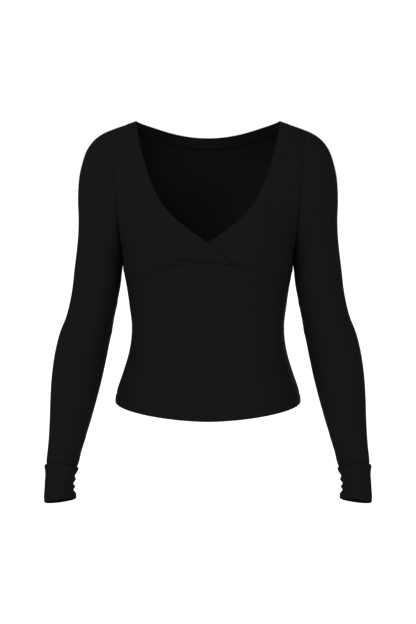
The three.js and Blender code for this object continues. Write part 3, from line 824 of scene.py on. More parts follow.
@dataclass(frozen=True)
class Jersey:
    """Single jersey of cotton with elastane: weft knitted, piece dyed black, not calendered.

    The fibres shade each other, so that it is matte and has hardly any gloss. The eye sees fine upright
    wales; painted shade darkens the colour between them and between the loops, and the dye is slightly cloudy.
    Real wales are 0.7 mm apart. They are drawn 2.1 mm apart, because finer ones don't show.
    """

    name: str
    # Ends of the colour mix: the knit's grooves take the dark end as painted shade, and the dye's cloud spreads between
    # the two
    light: str = "#1c1c1d"
    dark: str = "#171718"
    wale: float = 2.1
    course: float = 1.7
    relief: float = 0.12
    roughness: float = 0.92
    gloss: float = 0.07

    def make(self) -> bpy.types.Material:
        """Builds the material."""
        material = bpy.data.materials.new(self.name)
        material.use_nodes = True
        tree = material.node_tree
        tree.nodes.clear()
        cloth = node(tree, "ShaderNodeUVMap", uv_map="cloth").outputs["UV"]
        scale = (1 / (self.wale * MM), 1 / (self.course * MM), 1.0)
        knit = node(tree, "ShaderNodeMapping", {"Vector": cloth, "Scale": scale}).outputs["Vector"]
        parts = node(tree, "ShaderNodeSeparateXYZ", {"Vector": knit})
        leg = node(tree, "ShaderNodeMath", {0: parts.outputs["X"], 1: 0.5}, operation="PINGPONG").outputs[0]
        slant = node(tree, "ShaderNodeMath", {0: leg, 1: 1.3, 2: parts.outputs["Y"]}, operation="MULTIPLY_ADD")
        turn = node(tree, "ShaderNodeMath", {0: slant.outputs[0], 1: 2 * math.pi}, operation="MULTIPLY")
        loops = node(tree, "ShaderNodeMath", {0: turn.outputs[0]}, operation="SINE").outputs[0]
        crown = node(tree, "ShaderNodeMath", {0: leg, 1: 2 * math.pi}, operation="MULTIPLY").outputs[0]
        wale = node(tree, "ShaderNodeMath", {0: crown}, operation="SINE").outputs[0]
        height = node(tree, "ShaderNodeMath", {0: loops, 1: 0.28, 2: wale}, operation="MULTIPLY_ADD").outputs[0]
        place = node(tree, "ShaderNodeTexCoord").outputs["Object"]
        cloud = node(tree, "ShaderNodeTexNoise", {"Vector": place, "Scale": 38.0, "Detail": 3.0}).outputs["Fac"]
        lint = node(tree, "ShaderNodeTexNoise", {"Vector": place, "Scale": 900.0, "Detail": 2.0}).outputs["Fac"]
        # The knit's height darkens the colour in its grooves as painted shade; the cloud and lint noise are the dye's
        # own random tone
        knit_shade_and_dye_tone = node(tree, "ShaderNodeMath", {0: height, 1: 0.6, 2: cloud}, operation="MULTIPLY_ADD").outputs[0]
        knit_shade_and_dye_tone = node(tree, "ShaderNodeMath", {0: lint, 1: 0.6, 2: knit_shade_and_dye_tone}, operation="MULTIPLY_ADD").outputs[0]
        share = node(tree, "ShaderNodeMapRange", {"Value": knit_shade_and_dye_tone, "From Min": 0.0, "From Max": 2.0}).outputs["Result"]
        colour = node(
            tree,
            "ShaderNodeMix",
            {"Factor": share, "A": linear(self.dark), "B": linear(self.light)},
            data_type="RGBA",
        )
        fuzz = node(tree, "ShaderNodeMath", {0: lint, 1: 0.5, 2: height}, operation="MULTIPLY_ADD").outputs[0]
        bump = node(
            tree,
            "ShaderNodeBump",
            {"Height": fuzz, "Strength": 0.5, "Distance": self.relief * MM},
        )
        shader = node(tree, "ShaderNodeBsdfPrincipled", {
            "Base Color": colour.outputs["Result"],
            "Roughness": self.roughness,
            "Specular IOR Level": self.gloss,
            "Normal": bump.outputs["Normal"],
        })
        node(tree, "ShaderNodeOutputMaterial", {"Surface": shader.outputs["BSDF"]})
        return material


@dataclass(frozen=True)
class Thread:
    """Spun polyester sewing thread, two-ply, dyed black: round, twisted, with a dull shine. Its black is painted darker
    than the cloth's, as painted shade of the stitch lines.
    """

    name: str
    # The thread's own black, deepened below the cloth's as painted shade of the seam and hem stitch lines
    colour: str = "#131314"
    twist: float = 0.35
    roughness: float = 0.62
    gloss: float = 0.14

    def make(self) -> bpy.types.Material:
        """Builds the material."""
        material = bpy.data.materials.new(self.name)
        material.use_nodes = True
        tree = material.node_tree
        tree.nodes.clear()
        place = node(tree, "ShaderNodeTexCoord").outputs["Object"]
        plies = node(tree, "ShaderNodeTexNoise", {"Vector": place, "Scale": 1 / (self.twist * MM), "Detail": 1.0})
        bump = node(tree, "ShaderNodeBump", {
            "Height": plies.outputs["Fac"],
            "Strength": 0.4,
            "Distance": 0.05 * MM,
        })
        # Thread colour: its own black, made darker than the cloth as painted shade along the stitch lines
        colour = node(
            tree,
            "ShaderNodeMix",
            {"Factor": plies.outputs["Fac"], "A": linear("#0c0c0d"), "B": linear(self.colour)},
            data_type="RGBA",
        )
        shader = node(tree, "ShaderNodeBsdfPrincipled", {
            "Base Color": colour.outputs["Result"],
            "Roughness": self.roughness,
            "Specular IOR Level": self.gloss,
            "Normal": bump.outputs["Normal"],
        })
        node(tree, "ShaderNodeOutputMaterial", {"Surface": shader.outputs["BSDF"]})
        return material


@dataclass
class Finishes:
    """The materials of the whole top."""

    body: bpy.types.Material = field(init=False)
    band: bpy.types.Material = field(init=False)
    thread: bpy.types.Material = field(init=False)

    def __post_init__(self) -> None:
        """Builds each material once."""
        self.body = Jersey("black_single_jersey").make()
        self.band = Jersey("black_single_jersey_doubled", relief=0.1, wale=2.0).make()
        self.thread = Thread("black_spun_polyester_thread").make()


def resample(points: Array, extra: Array, pitch: float, loop: bool) -> tuple[Array, Array, Array]:
    """Spreads places evenly along a path.

    Args:
        points: The path.
        extra: A direction at each of its points.
        pitch: Wanted distance between the places.
        loop: True where the path closes on itself.

    Returns:
        The places, the path's directions and the extra directions there.
    """
    if loop:
        points = np.concatenate([points, points[:1]])
        extra = np.concatenate([extra, extra[:1]])
    length = np.concatenate([[0], np.cumsum(np.linalg.norm(np.diff(points, axis=0), axis=1))])
    count = max(2, round(length[-1] / pitch))
    at = np.linspace(0, length[-1], count + 1)[: count if loop else count + 1]
    place = np.stack([np.interp(at, length, column) for column in points.T], -1)
    square = unit(np.stack([np.interp(at, length, column) for column in extra.T], -1))
    if loop:
        ahead = np.roll(place, -1, 0) - np.roll(place, 1, 0)
    else:
        ahead = np.gradient(place, axis=0)
    return place, unit(ahead), square


@dataclass(frozen=True)
class Stitches:
    """Rows of needle thread that lie in the cloth."""

    length: float = 2.5
    pitch: float = 3.0
    width: float = 0.5
    height: float = 0.36

    def form(self) -> tuple[Array, Array]:
        """Models one stitch: a ball drawn out to a low bar.

        Returns:
            Its points, of unit size, and its faces as quads or triangles.
        """
        bpy.ops.object.select_all(action="DESELECT")
        bpy.ops.mesh.primitive_uv_sphere_add(segments=6, ring_count=5, radius=0.5, rotation=(0, math.pi / 2, 0))
        ball = bpy.context.active_object
        bpy.ops.object.transform_apply(location=False, rotation=True, scale=False)
        mesh = ball.data
        points = np.array([tuple(v.co) for v in mesh.vertices])
        middle = np.abs(points[:, 0]) < 0.42
        points[middle, 0] = np.sign(points[middle, 0]) * np.maximum(np.abs(points[middle, 0]), 0.33)
        faces = [tuple(p.vertices) for p in mesh.polygons]
        bpy.data.objects.remove(ball)
        bpy.data.meshes.remove(mesh)
        return points, faces

    def sew(self, name: str, rows: list[tuple[Array, Array, bool]], finish: bpy.types.Material) -> bpy.types.Object:
        """Sews rows of stitches.

        Args:
            name: Name of the piece.
            rows: For each row its path, the directions out of the cloth, and whether it closes.
            finish: The material.

        Returns:
            The stitches as one mesh.
        """
        shape, faces = self.form()
        vertices: list[Array] = []
        indices: list[tuple[int, ...]] = []
        count = 0
        for points, square, loop in rows:
            place, ahead, out = resample(points, square, self.pitch, loop)
            across = unit(np.cross(out, ahead))
            for p, a, b, n in zip(place, ahead, across, out):
                local = shape * (self.length, self.width, self.height)
                vertices.append(p + local[:, :1] * a + local[:, 1:2] * b + (local[:, 2:] + 0.02) * n)
                indices.extend(tuple(k + count for k in face) for face in faces)
                count += len(shape)
        mesh = bpy.data.meshes.new(name)
        mesh.from_pydata((np.concatenate(vertices) * MM).tolist(), [], indices)
        return finished(name, mesh, finish)


def finished(name: str, mesh: bpy.types.Mesh, finish: bpy.types.Material) -> bpy.types.Object:
    """Links a new mesh as a smooth object with its material."""
    obj = bpy.data.objects.new(name, mesh)
    bpy.context.scene.collection.objects.link(obj)
    only(obj)
    bpy.ops.object.mode_set(mode="EDIT")
    bpy.ops.mesh.select_all(action="SELECT")
    bpy.ops.mesh.normals_make_consistent(inside=False)
    bpy.ops.object.mode_set(mode="OBJECT")
    bpy.ops.object.shade_smooth()
    dress(obj, finish)
    LOG.info("%s: %d faces", name, len(mesh.polygons))
    return obj


@dataclass(frozen=True)
class SeamAllowance:
    """An overlocked seam allowance, pressed flat on the inside."""

    width: float = 6.0
    height: float = 0.8
    band_width: float = 3.0
    band_height: float = 0.3
    band_from: float = 2.0
    pitch: float = 1.0
    scallop: float = 0.25
    loop_pitch: float = 3.0
    sides: int = 8

    def lay(self, name: str, paths: list[tuple[Array, Array, bool, float]], finish: bpy.types.Material) -> bpy.types.Object:
        """Lays the allowance behind seams.

        Args:
            name: Name of the piece.
            paths: For each seam its line, the directions out of the cloth, whether it closes,
                and how deep under the line its middle lies.
            finish: The material.

        Returns:
            The allowances as one mesh.
        """
        vertices: list[Array] = []
        faces: list[tuple[int, ...]] = []
        count = 0
        turn = np.linspace(0, 2 * math.pi, self.sides, endpoint=False)
        for points, square, loop, deep in paths:
            place, ahead, out = resample(points, square, self.pitch, loop)
            across = unit(np.cross(out, ahead))
            run = np.arange(len(place)) * self.pitch
            wide, tall = (self.width, self.height) if deep < self.band_from else (self.band_width, self.band_height)
            half = wide / 2 + self.scallop * np.sin(2 * math.pi * run / self.loop_pitch)
            middle = place - out * deep
            ring = (
                middle[:, None]
                + across[:, None] * (half[:, None] * np.cos(turn))[..., None]
                + out[:, None] * (tall / 2 * np.sin(turn))[None, :, None]
            )
            vertices.append(ring.reshape(-1, 3))
            rows = len(place)
            for row in range(rows if loop else rows - 1):
                near, far = count + row * self.sides, count + (row + 1) % rows * self.sides
                for k in range(self.sides):
                    beside = (k + 1) % self.sides
                    faces.append((near + k, near + beside, far + beside, far + k))
            if not loop:
                faces.append(tuple(range(count, count + self.sides))[::-1])
                end = count + (rows - 1) * self.sides
                faces.append(tuple(range(end, end + self.sides)))
            count += rows * self.sides
        mesh = bpy.data.meshes.new(name)
        mesh.from_pydata((np.concatenate(vertices) * MM).tolist(), [], faces)
        return finished(name, mesh, finish)


@dataclass
class Shell:
    """A body piece: the rows that are sewn, and the cloth that is built from them."""

    cloth: Cloth
    outer: Array
    square: Array
    hem_rows: tuple[int, ...] = ()


@dataclass
class BodyPanels:
    """The four panels of the body."""

    form: BodyForm
    lines: BandLines
    finishes: Finishes
    gap: float = 0.15
    hem: float = 14.0
    fold: float = 1.05
    front_hem_z: float = -494.1
    back_hem_z: float = -488.0
    shells: dict[str, Shell] = field(default_factory=dict)

    def place_on_body(self, places: Array, side: Side, creases: tuple[Crease, ...], lifted: bool) -> Array:
        """Moves places on the body out to the cloth's outer face.

        Args:
            places: x and z of each place.
            side: Front or back.
            creases: Creases that show on this panel.
            lifted: True for the upper front of the wrap.

        Returns:
            The points.
        """
        form = self.form
        bare = form.point(places, side, self.gap / 2)
        out = form.fullness(places, side)
        for crease in creases:
            out = out + crease.relief(places[..., 0], places[..., 1])
        if lifted:
            out = out + form.lift(places)
        return bare + form.outward(bare, side) * out[..., None]

    def armhole_and_side(self, v: Array, bottom_z: float, side_share: float) -> Array:
        """Right edge of a panel: the side seam, then the armhole.

        Args:
            v: Shares of the rows.
            bottom_z: Height where it starts.
            side_share: Share of the rows that run along the side seam.

        Returns:
            The places.
        """
        form = self.form
        under = form.armhole_under[1]
        z = bottom_z + (under - bottom_z) * np.clip(v / side_share, 0, 1)
        seam = np.stack([-form.half_width(z), z], -1)
        up = -np.cos(np.pi * np.clip((v - side_share) / (1 - side_share), 0, 1))
        return np.where((v < side_share)[:, None], seam, form.armhole(up))

    def cup(self, name: str, lifted: bool, mirror: bool, creases: tuple[Crease, ...]) -> Shell:
        """One front cup, from the seam under the bust to the shoulder.

        Args:
            name: Name of the piece, which is its CAD node's name with _cloth.
            lifted: True for the upper one.
            mirror: True for the wearer's left.
            creases: Creases on it.

        Returns:
            The piece.
        """
        form, lines = self.form, self.lines
        u = np.unique(np.concatenate([spaced(46, 0.006), [0.012, 0.988]]))
        v = np.unique(np.concatenate([spaced(60, 0.004), np.linspace(0.008, 0.13, 26), [0.992]]))
        low_z = float(form.underbust(np.array(144.5)))
        x = np.linspace(-float(form.half_width(np.array(low_z))), lines.wrap_reach, 800)
        seam = np.stack([x, form.underbust(x)], -1)
        bottom = Line.round_body(form, seam, Side.FRONT).at(u) + (0, self.gap / 2)
        first = self.armhole_and_side(v, bottom[0, 1], 0.2)
        last = lines.front_seam.at(v)
        last[0] = bottom[-1]
        top_x = first[-1, 0] + (last[-1, 0] - first[-1, 0]) * u
        places = fill_panel(form, Side.FRONT, u, v, (bottom, form.shoulder(top_x), first, last))
        facing = places * (-1, 1) if mirror else places
        points = self.place_on_body(facing, Side.FRONT, creases, lifted)
        square = normals(points, False, form.outward(points, Side.FRONT))
        cloth = Cloth(name, points, square, seams=(True, True, True, True))
        return Shell(cloth, points, square)

    def hemmed(self, name: str, side: Side, u: Array, main: Array, creases: tuple[Crease, ...]) -> Shell:
        """Adds the turned hem below a panel's main rows.

        Args:
            name: Name of the piece.
            side: Front or back.
            u: Shares of the columns.
            main: The places of its rows above the hem.
            creases: Creases on it.

        Returns:
            The piece.
        """
        form = self.form
        centre_z = self.front_hem_z if side is Side.FRONT else self.back_hem_z
        angle = (2 * u - 1) * math.pi / 2
        edge = form.hem(angle, centre_z)
        heights = np.array([self.fold, 2.4, 4.5, 7.5, 9.8, 11.0, 12.1, 13.0])
        z = edge[None, :, 1] + heights[:, None]
        rows = np.stack([form.width_at(angle[None, :], z), z], -1)
        places = np.concatenate([rows, main])
        points = self.place_on_body(places, side, creases, False)
        out = normals(points, False, form.outward(points, side))
        sunk = np.interp(places[..., 1] - edge[None, :, 1], HEM_SINK[:, 0], HEM_SINK[:, 1])
        points = points - out * sunk[..., None]
        square = normals(points, False, form.outward(points, side))
        turned = fold_over(points, square, self.fold, len(heights) + 2)
        added = len(turned)
        grid = np.concatenate([turned, points])
        grid_square = normals(grid, False, np.concatenate([np.repeat(square[:1], added, 0), square]))
        grid_square[:added] = normals(grid, False, self.inside_out(turned, points, square))[:added]
        cloth = Cloth(name, grid, grid_square, seams=(False, True, True, True), first_seam_row=added)
        return Shell(cloth, points, square, (3, 6))

    def inside_out(self, turned: Array, points: Array, square: Array) -> Array:
        """Directions that the faces of a turned hem point to, in the shape of the whole grid."""
        added = len(turned)
        middle = points[0] - square[0] * self.fold
        towards = turned - middle[None]
        flat = np.concatenate([towards, square])
        inner = added - 5
        flat[:inner] = -np.repeat(square[:1], inner, 0)
        return flat

    def lower_front(self) -> Shell:
        """The front from the hem to the seam under the bust."""
        form = self.form
        u = np.unique(np.concatenate([spaced(64, 0.004), [0.008, 0.992]]))
        v = np.unique(np.concatenate([spaced(44), [0.005, 0.01, 0.016, 0.988, 0.994]]))
        angle = (2 * u - 1) * math.pi / 2
        side_z = float(form.underbust(np.array(144.5)))
        x = np.linspace(-1, 1, 1200) * float(form.half_width(np.array(side_z)))
        top = Line.round_body(form, np.stack([x, form.underbust(x)], -1), Side.FRONT).at(u) - (0, self.gap / 2)
        low = form.hem(angle, self.front_hem_z) + (0, self.hem)
        low[:, 0] = form.width_at(angle, low[:, 1])
        z = low[0, 1] + (top[0, 1] - low[0, 1]) * v
        side = np.stack([-form.half_width(z), z], -1)
        main = fill_panel(form, Side.FRONT, u, v, (low, top, side, side * (-1, 1)))
        return self.hemmed("front_lower_cloth", Side.FRONT, u, main, MIDRIFF_CREASES)

    def back(self) -> Shell:
        """The back from the hem to the shoulders and the band."""
        form, lines = self.form, self.lines
        shoulder = np.linspace(0, 1, 8)[:-1]
        neck = np.linspace(0, 1, 53)
        tip_x = -form.armhole_top[0]
        slope = form.shoulder(tip_x + (-lines.shoulder_x - tip_x) * shoulder)
        top = np.concatenate([slope, lines.back_seam.at(neck), (slope * (-1, 1))[::-1]])
        u = np.linspace(0, 1, len(top))
        ends = np.array([0.004, 0.008])
        support = np.concatenate([ends, 1 - ends])
        wanted = np.unique(np.concatenate([u, support]))
        top = np.stack([np.interp(wanted, u, column) for column in top.T], -1)
        u = wanted
        v = np.unique(np.concatenate([spaced(88), [0.003, 0.0055, 0.0085, 0.992, 0.996]]))
        angle = (2 * u - 1) * math.pi / 2
        low = form.hem(angle, self.back_hem_z) + (0, self.hem)
        low[:, 0] = form.width_at(angle, low[:, 1])
        first = self.armhole_and_side(v, low[0, 1], 0.56)
        main = fill_panel(form, Side.BACK, u, v, (low, top, first, first * (-1, 1)))
        return self.hemmed("back_cloth", Side.BACK, u, main, BACK_CREASES)

    def build(self) -> None:
        """Builds the panels with their hem stitches."""
        right = tuple(c for c in FRONT_CREASES if c.path[0][0] < 30)
        left = tuple(c for c in FRONT_CREASES if c.path[0][0] > 30)
        self.shells = {
            "front_right": self.cup("front_right_cloth", True, False, right),
            "front_left": self.cup("front_left_cloth", False, True, left),
            "front_lower": self.lower_front(),
            "back": self.back(),
        }
        for key, shell in self.shells.items():
            obj = shell.cloth.build(self.finishes.body, (key,))
            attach(obj, "root")
            if shell.hem_rows:
                rows = [(shell.outer[row, 1:-1], shell.square[row, 1:-1], False) for row in shell.hem_rows]
                stitches = Stitches().sew(f"{key}_hem_stitches", rows, self.finishes.thread)
                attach(stitches, "root")


@dataclass
class Neckband:
    """One strip, doubled lengthwise, from the right wrap end round the neck to the left wrap end."""

    form: BodyForm
    lines: BandLines
    finishes: Finishes
    gap: float = 0.15
    fold: float = 0.95
    thickness: float = 0.85
    flat: tuple[float, float] = (0.054, 0.96)

    def strip(self, seam: Array, edge: Array, side: Side, lifted: bool) -> tuple[Array, Array]:
        """Outer layer of a stretch of the band.

        Args:
            seam: Places along its seam.
            edge: Places along its free edge.
            side: Front or back.
            lifted: True for the upper end of the wrap.

        Returns:
            The points from the free edge to the seam, and the directions out of them.
        """
        form = self.form
        width = np.linalg.norm(edge - seam, axis=1)
        shares = np.array([0, 0.05, 0.12, 0.25, 0.4, 0.55, 0.7, 0.82, 0.9, 0.95, 1.0])
        from_edge = self.fold / width
        to_seam = self.gap / width
        part = from_edge + (1 - from_edge - to_seam) * shares[:, None]
        places = edge + part[..., None] * (seam - edge)
        bare = form.point(places, side)
        out = form.fullness(places, side)
        if lifted:
            out = out + form.lift(places)
        square = form.outward(bare, side)
        return bare + square * out[..., None], square

    def build(self) -> bpy.types.Object:
        """Builds the band as one sheet."""
        lines = self.lines
        shares = np.unique(np.concatenate([spaced(72), [0.004, 0.008]]))
        rise = (self.gap / 2 * np.clip(1 - shares * 15, 0, 1))[:, None] * (0, 1)
        seam = lines.front_seam.at(shares) + rise
        edge = lines.front_edge.at(shares) + rise
        back = np.linspace(0, 1, 61)[1:-1]
        right, right_out = self.strip(seam, edge, Side.FRONT, True)
        left, left_out = self.strip(seam * (-1, 1), edge * (-1, 1), Side.FRONT, False)
        behind, behind_out = self.strip(lines.back_seam.at(back), lines.back_edge.at(back), Side.BACK, False)
        points = np.concatenate([right, behind, left[:, ::-1]], 1)
        towards = np.concatenate([right_out, behind_out, left_out[:, ::-1]], 1)
        square = normals(points, False, towards)
        turned = fold_over(points, square, self.fold, len(points))
        grid = np.concatenate([turned, points])
        added = len(turned)
        directions = np.concatenate([turned - (points[0] - square[0] * self.fold)[None], square])
        directions[: added - 5] = -square[1:len(points)][::-1]
        grid_square = normals(grid, False, directions)
        cloth = Cloth(
            "neckband_cloth",
            grid,
            grid_square,
            seams=(False, False, True, False),
            thickness=self.thickness,
            skirt=1.0,
        )
        obj = cloth.build(self.finishes.band, ("neckband",))
        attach(obj, "root")
        self.points, self.square = points, square
        tack = self.bartack()
        return obj

    def bartack(self) -> bpy.types.Object:
        """The short bar of thread that holds the wrap where the upper band's edge meets the lower cup."""
        at = int(np.argmin(np.linalg.norm(self.points[1][:, [0, 2]] - (28.8, -220.4), axis=1)))
        place, out = self.points[1, at], self.square[1, at]
        ahead = unit(self.points[1, at + 1] - self.points[1, at - 1])
        across = unit(np.cross(out, ahead))
        rows = []
        for k in range(-3, 4):
            middle = place + ahead * 0.5 * k + out * 0.3
            rows.append((np.stack([middle - across * 1.1, middle, middle + across * 1.1]), np.stack([out] * 3), False))
        stitch = Stitches(length=2.2, pitch=2.2, width=0.55, height=0.9)
        tack = stitch.sew("wrap_bartack", rows, self.finishes.thread)
        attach(tack, "root")
        return tack


@dataclass
class Sleeve:
    """A set-in sleeve with its long cuff, for the wearer's left; the right one is its mirror."""

    form: BodyForm
    finishes: Finishes
    mirror: bool
    gap: float = 0.15
    columns: int = 64
    step: float = 6.0
    fade: tuple[float, ...] = (1.0, 0.8, 0.55, 0.3, 0.12, 0.0)
    rest: tuple[float, ...] = (0.4, 1.25, 1.9, 2.2, 2.35, 2.3, 1.2, 0.75, 0.6, 0.4, 0.0)
    rest_turn: float = 0.9
    seam_dip: float = 0.5
    cuff_seam_dip: float = 1.3
    cuff_step: float = 1.7
    cuff_hem: float = 6.0
    cuff_fold: float = 1.4
    cuff_forward: float = 0.24
    cuff_fall: float = 0.81
    cuff_rise: float = 10.4

    @property
    def name(self) -> str:
        """Side of the wearer."""
        return "right" if self.mirror else "left"

    def turns(self) -> Array:
        """Angles round a ring, from the underarm seam."""
        return math.pi + np.linspace(0, 2 * math.pi, self.columns, endpoint=False)

    def rings(self, values: Array, turn: Array) -> Array:
        """Points of elliptical rings.

        Args:
            values: Outer x and z, inner x and z, y, front, back and rise, a row for each ring.
            turn: Angles round the rings.

        Returns:
            The points by ring and angle.
        """
        outer_x, outer_z, inner_x, inner_z, y, front, back, rise = (values[:, k, None] for k in range(8))
        out, ahead = np.cos(turn), np.sin(turn)
        depth = np.where(ahead > 0, front, back)
        return np.stack([
            (outer_x + inner_x) / 2 + (outer_x - inner_x) / 2 * out,
            y - depth * ahead,
            (outer_z + inner_z) / 2 + (outer_z - inner_z) / 2 * out + rise * ahead,
        ], -1)

    def flip(self, points: Array) -> Array:
        """Mirrors points for the right sleeve."""
        return points * (-1, 1, 1) if self.mirror else points

    def armhole_ring(self, turn: Array) -> tuple[Array, Array]:
        """The left armhole as the body's panels leave it, and the directions out of the body there."""
        places = self.form.armhole(np.cos(turn)) * (-1, 1)
        ring, square = np.empty((len(turn), 3)), np.empty((len(turn), 3))
        for side, wanted in ((Side.FRONT, np.sin(turn) > 0), (Side.BACK, np.sin(turn) <= 0)):
            bare = self.form.point(places[wanted], side)
            out = self.form.fullness(places[wanted], side)
            square[wanted] = self.form.outward(bare, side)
            ring[wanted] = bare + square[wanted] * out[:, None]
        return ring + (self.gap, 0, 0), square

    def sleeve_rows(self) -> Array:
        """Ring numbers of the rows, close enough for the longest step of the table."""
        outer = np.linalg.norm(np.diff(SLEEVE_SECTIONS[:, :2], axis=0), axis=1)
        inner = np.linalg.norm(np.diff(SLEEVE_SECTIONS[:, 2:4], axis=0), axis=1)
        rows = [0.0, 0.06]
        for k, length in enumerate(np.maximum(outer, inner)):
            steps = max(2, round(length / self.step))
            rows.extend(k + (n + 1) / steps for n in range(steps))
        rows.insert(len(rows) - 1, rows[-1] - 0.03)
        return np.array(rows)

    def sleeve(self) -> tuple[Cloth, Array, Array]:
        """The sleeve's cloth, its outer points and the directions out of them."""
        turn = self.turns()
        at = self.sleeve_rows()
        keyed = np.column_stack([np.arange(len(SLEEVE_SECTIONS)), SLEEVE_SECTIONS])
        values = np.stack([between(keyed, at, column) for column in range(1, 9)], -1)
        points = self.rings(values, turn)
        offset = self.armhole_ring(turn)[0] - self.rings(SLEEVE_SECTIONS[:1], turn)[0]
        points = points + np.interp(at, np.arange(len(self.fade)), self.fade)[:, None, None] * offset
        around = np.mod(turn, 2 * math.pi)[None, :] + 0 * at[:, None]
        # Under the arm the sleeve rests against the body
        rest = np.interp(at, np.arange(len(self.rest)), self.rest)[:, None]
        points[..., 0] -= rest * hump((around - math.pi) / self.rest_turn)
        middle = points.mean(1, keepdims=True)
        square = normals(points, True, points - middle)
        relief = np.zeros(points.shape[:2])
        for crease in SLEEVE_CREASES:
            relief += crease.relief(around, at[:, None] + 0 * turn[None, :], (40.0, 34.0))
        relief[:, 0] -= self.seam_dip
        points = points + square * relief[..., None]
        square = normals(points, True, points - middle)
        points, square = self.flip(points), self.flip(square)
        cloth = Cloth(f"sleeve_{self.name}_cloth", points, square, closed=True, seams=(True, False, True, False))
        return cloth, points, square

    def cuff(self) -> tuple[Cloth, Array, Array]:
        """The cuff's cloth with its turned hem, its outer points and the directions out of them."""
        turn = self.turns()
        start = SLEEVE_SECTIONS[-1]
        length = CUFF_SECTIONS[-1, 0]
        drops = np.concatenate([[0, 0.6], np.arange(1.2, length - self.cuff_hem - 1.2, self.cuff_step)])
        hem = length - np.array([6.8, 6.0, 5.0, 3.6, 2.4, self.cuff_fold])
        drops = np.concatenate([drops, hem])
        outer_x, inner_x = (between(CUFF_SECTIONS, drops, column) for column in (1, 2))
        depth = start[5] + ((outer_x - inner_x) / 2 - (start[0] - start[2]) / 2) * 0.5
        values = np.stack([
            outer_x,
            start[1] - self.gap - drops,
            inner_x,
            start[3] - self.gap - drops * self.cuff_fall,
            start[4] - drops * self.cuff_forward,
            depth,
            depth,
            start[7] + (self.cuff_rise - start[7]) * drops / length,
        ], -1)
        points = self.rings(values, turn)
        middle = points.mean(1, keepdims=True)
        square = normals(points, True, points - middle)
        dips = np.zeros(len(drops))
        dips[-8:] = 0.3, 0.8, 1.3, 0.5, 0.3, 0.35, 0.6, 1.0
        relief = -dips[:, None] + 0 * turn[None, :]
        relief[:, 0] -= self.seam_dip
        points = points + square * relief[..., None]
        square = normals(points, True, points - middle)
        points, square = self.flip(points[::-1]), self.flip(square[::-1])
        turned = fold_over(points, square, self.cuff_fold, 6)
        added = len(turned)
        grid = np.concatenate([turned, points])
        directions = np.concatenate([turned - (points[0] - square[0] * self.cuff_fold)[None], square])
        directions[: added - 5] = -np.repeat(square[:1], added - 5, 0)
        grid_square = normals(grid, True, directions)
        cloth = Cloth(
            f"cuff_{self.name}_cloth",
            grid,
            grid_square,
            closed=True,
            seams=(False, False, True, False),
            edge_dip=self.cuff_seam_dip,
        )
        return cloth, points, square

    def build(self) -> list[tuple[Array, Array, bool, float]]:
        """Builds the sleeve, the cuff and the cuff's stitches.

        Returns:
            The lines of its seams for the seam allowances.
        """
        sleeve, points, square = self.sleeve()
        obj = sleeve.build(self.finishes.body, (f"sleeve_{self.name}",))
        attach(obj, "root")
        cuff, cuff_points, cuff_square = self.cuff()
        obj = cuff.build(self.finishes.band, (f"cuff_{self.name}",))
        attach(obj, "root")
        rows = [(cuff_points[row], cuff_square[row], True) for row in (2, 4)]
        stitches = Stitches(length=2.0, pitch=2.4).sew(f"cuff_{self.name}_hem_stitches", rows, self.finishes.thread)
        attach(stitches, "root")
        under, armhole_under = 1.55, 1.3
        ring, body_square = self.armhole_ring(self.turns())
        ring = self.flip(ring - (self.gap / 2, 0, 0))
        groove = unit(self.flip(body_square) + square[0])
        return [(ring, groove, True, armhole_under), (points[-1], square[-1], True, under)]


def inside_seams(panels: BodyPanels) -> list[tuple[Array, Array, bool, float]]:
    """Lines of the body's seams for the seam allowances.

    Args:
        panels: The panels, already built.

    Returns:
        Each line, the directions out of it, whether it closes, and how deep the allowance lies.
    """
    under, band_under = 1.55, 2.1
    lower, back = panels.shells["front_lower"], panels.shells["back"]
    hem = 9
    paths = [(lower.outer[-1], lower.square[-1], False, under)]
    for column in (0, -1):
        paths.append((lower.outer[hem:, column], lower.square[hem:, column], False, under))
    tips = np.abs(back.outer[-1, :, 0]) <= panels.lines.shoulder_x + 0.5
    paths.append((back.outer[-1][tips], back.square[-1][tips], False, band_under))
    for key in ("front_right", "front_left"):
        shell = panels.shells[key]
        paths.append((shell.outer[:, -1], shell.square[:, -1], False, band_under))
        paths.append((shell.outer[-1], shell.square[-1], False, under))
    return paths


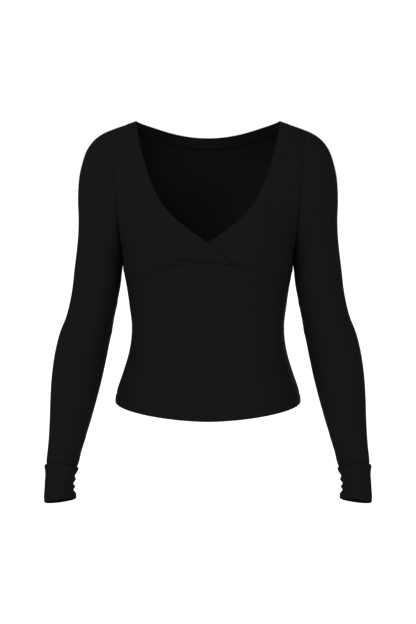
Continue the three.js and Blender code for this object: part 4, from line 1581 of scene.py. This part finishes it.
@dataclass(frozen=True)
class Studio:
    """A plain white room with a floor that gives light back, soft lamps some metres away, and the camera.

    The key lamp stands on the viewer's left, where the photo's light comes from.
    """

    floor_z: float = -1.45
    floor_size: float = 60.0
    ambient: float = 0.26
    bounce: float = 0.42
    key_watts: float = 72.0
    top_watts: float = 87.0
    fill_watts: float = 46.0
    back_watts: float = 16.0
    camera_at: tuple[float, float, float] = (0.0, -2.377, 0.0084)
    pitch_down: float = 8.0
    lens: float = 80.5
    sensor: float = 36.0

    def room(self) -> None:
        """The floor and the light that comes from all round."""
        bpy.ops.object.select_all(action="DESELECT")
        bpy.ops.mesh.primitive_plane_add(size=self.floor_size, location=(0, 0, self.floor_z))
        floor = bpy.context.active_object
        floor.name = "floor"
        paint = bpy.data.materials.new("white_matt_floor_paint")
        paint.use_nodes = True
        tree = paint.node_tree
        tree.nodes.clear()
        shader = node(tree, "ShaderNodeBsdfPrincipled", {
            "Base Color": linear("#f4f4f4"),
            "Roughness": 1.0,
            "Specular IOR Level": 0.0,
            "Emission Color": linear("#ffffff"),
            "Emission Strength": 1.0,
        })
        node(tree, "ShaderNodeOutputMaterial", {"Surface": shader.outputs["BSDF"]})
        dress(floor, paint)
        floor.visible_diffuse = False
        floor.visible_glossy = False
        world = bpy.data.worlds.new("white_room")
        bpy.context.scene.world = world
        world.use_nodes = True
        tree = world.node_tree
        tree.nodes.clear()
        seen = node(tree, "ShaderNodeLightPath").outputs["Is Camera Ray"]
        way = node(tree, "ShaderNodeSeparateXYZ", {"Vector": node(tree, "ShaderNodeTexCoord").outputs["Generated"]})
        down = node(tree, "ShaderNodeMath", {0: way.outputs["Z"], 1: 0.0}, operation="MINIMUM").outputs[0]
        given = node(tree, "ShaderNodeMath", {0: down, 1: -self.bounce, 2: self.ambient}, operation="MULTIPLY_ADD")
        strength = node(tree, "ShaderNodeMapRange", {"Value": seen, "To Min": given.outputs[0], "To Max": 1.0})
        light = node(tree, "ShaderNodeBackground", {"Color": linear("#ffffff"), "Strength": strength.outputs["Result"]})
        node(tree, "ShaderNodeOutputWorld", {"Surface": light.outputs["Background"]})

    def lamp(self, name: str, watts: float, size: float, at: tuple[float, float, float]) -> None:
        """Adds a soft square lamp that points at the top.

        Args:
            name: Its name.
            watts: Its power.
            size: Length of its side in metres.
            at: Its place in metres.
        """
        data = bpy.data.lights.new(name, "AREA")
        data.energy = watts
        data.size = size
        lamp = bpy.data.objects.new(name, data)
        bpy.context.scene.collection.objects.link(lamp)
        lamp.location = at
        aim = bpy.data.objects[name].location.copy()
        aim.negate()
        aim.z -= 0.3
        lamp.rotation_euler = aim.to_track_quat("-Z", "Y").to_euler()

    def camera(self) -> None:
        """The camera at the photo's angle."""
        data = bpy.data.cameras.new("camera")
        data.sensor_fit = "VERTICAL"
        data.sensor_height = self.sensor
        data.lens = self.lens
        camera = bpy.data.objects.new("camera", data)
        bpy.context.scene.collection.objects.link(camera)
        camera.location = self.camera_at
        camera.rotation_euler = (math.radians(90 - self.pitch_down), 0, 0)
        bpy.context.scene.camera = camera

    def build(self) -> None:
        """Builds the whole studio."""
        self.room()
        self.lamp("key_softbox", self.key_watts, 2.4, (-3.6, -5.0, 1.6))
        self.lamp("top_softbox", self.top_watts, 2.4, (-1.5, -5.2, 3.0))
        self.lamp("fill_softbox", self.fill_watts, 2.4, (3.8, -4.6, 0.6))
        self.lamp("back_softbox", self.back_watts, 1.4, (0.8, 2.3, -0.2))
        self.camera()
        view = bpy.context.scene.view_settings
        view.view_transform = "Standard"
        view.look = "None"


def main() -> None:
    """Loads the frame and builds the top and the studio round it."""
    logging.basicConfig(level=logging.INFO, format="%(name)s: %(message)s")
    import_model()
    Studio().build()
    form = BodyForm()
    lines = BandLines(form)
    finishes = Finishes()
    panels = BodyPanels(form, lines, finishes)
    panels.build()
    Neckband(form, lines, finishes).build()
    seams = inside_seams(panels)
    for mirror in (False, True):
        seams.extend(Sleeve(form, finishes, mirror).build())
    allowance = SeamAllowance().lay("seam_allowances", seams, finishes.thread)
    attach(allowance, "root")
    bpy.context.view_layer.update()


if __name__ == "__main__":
    main()
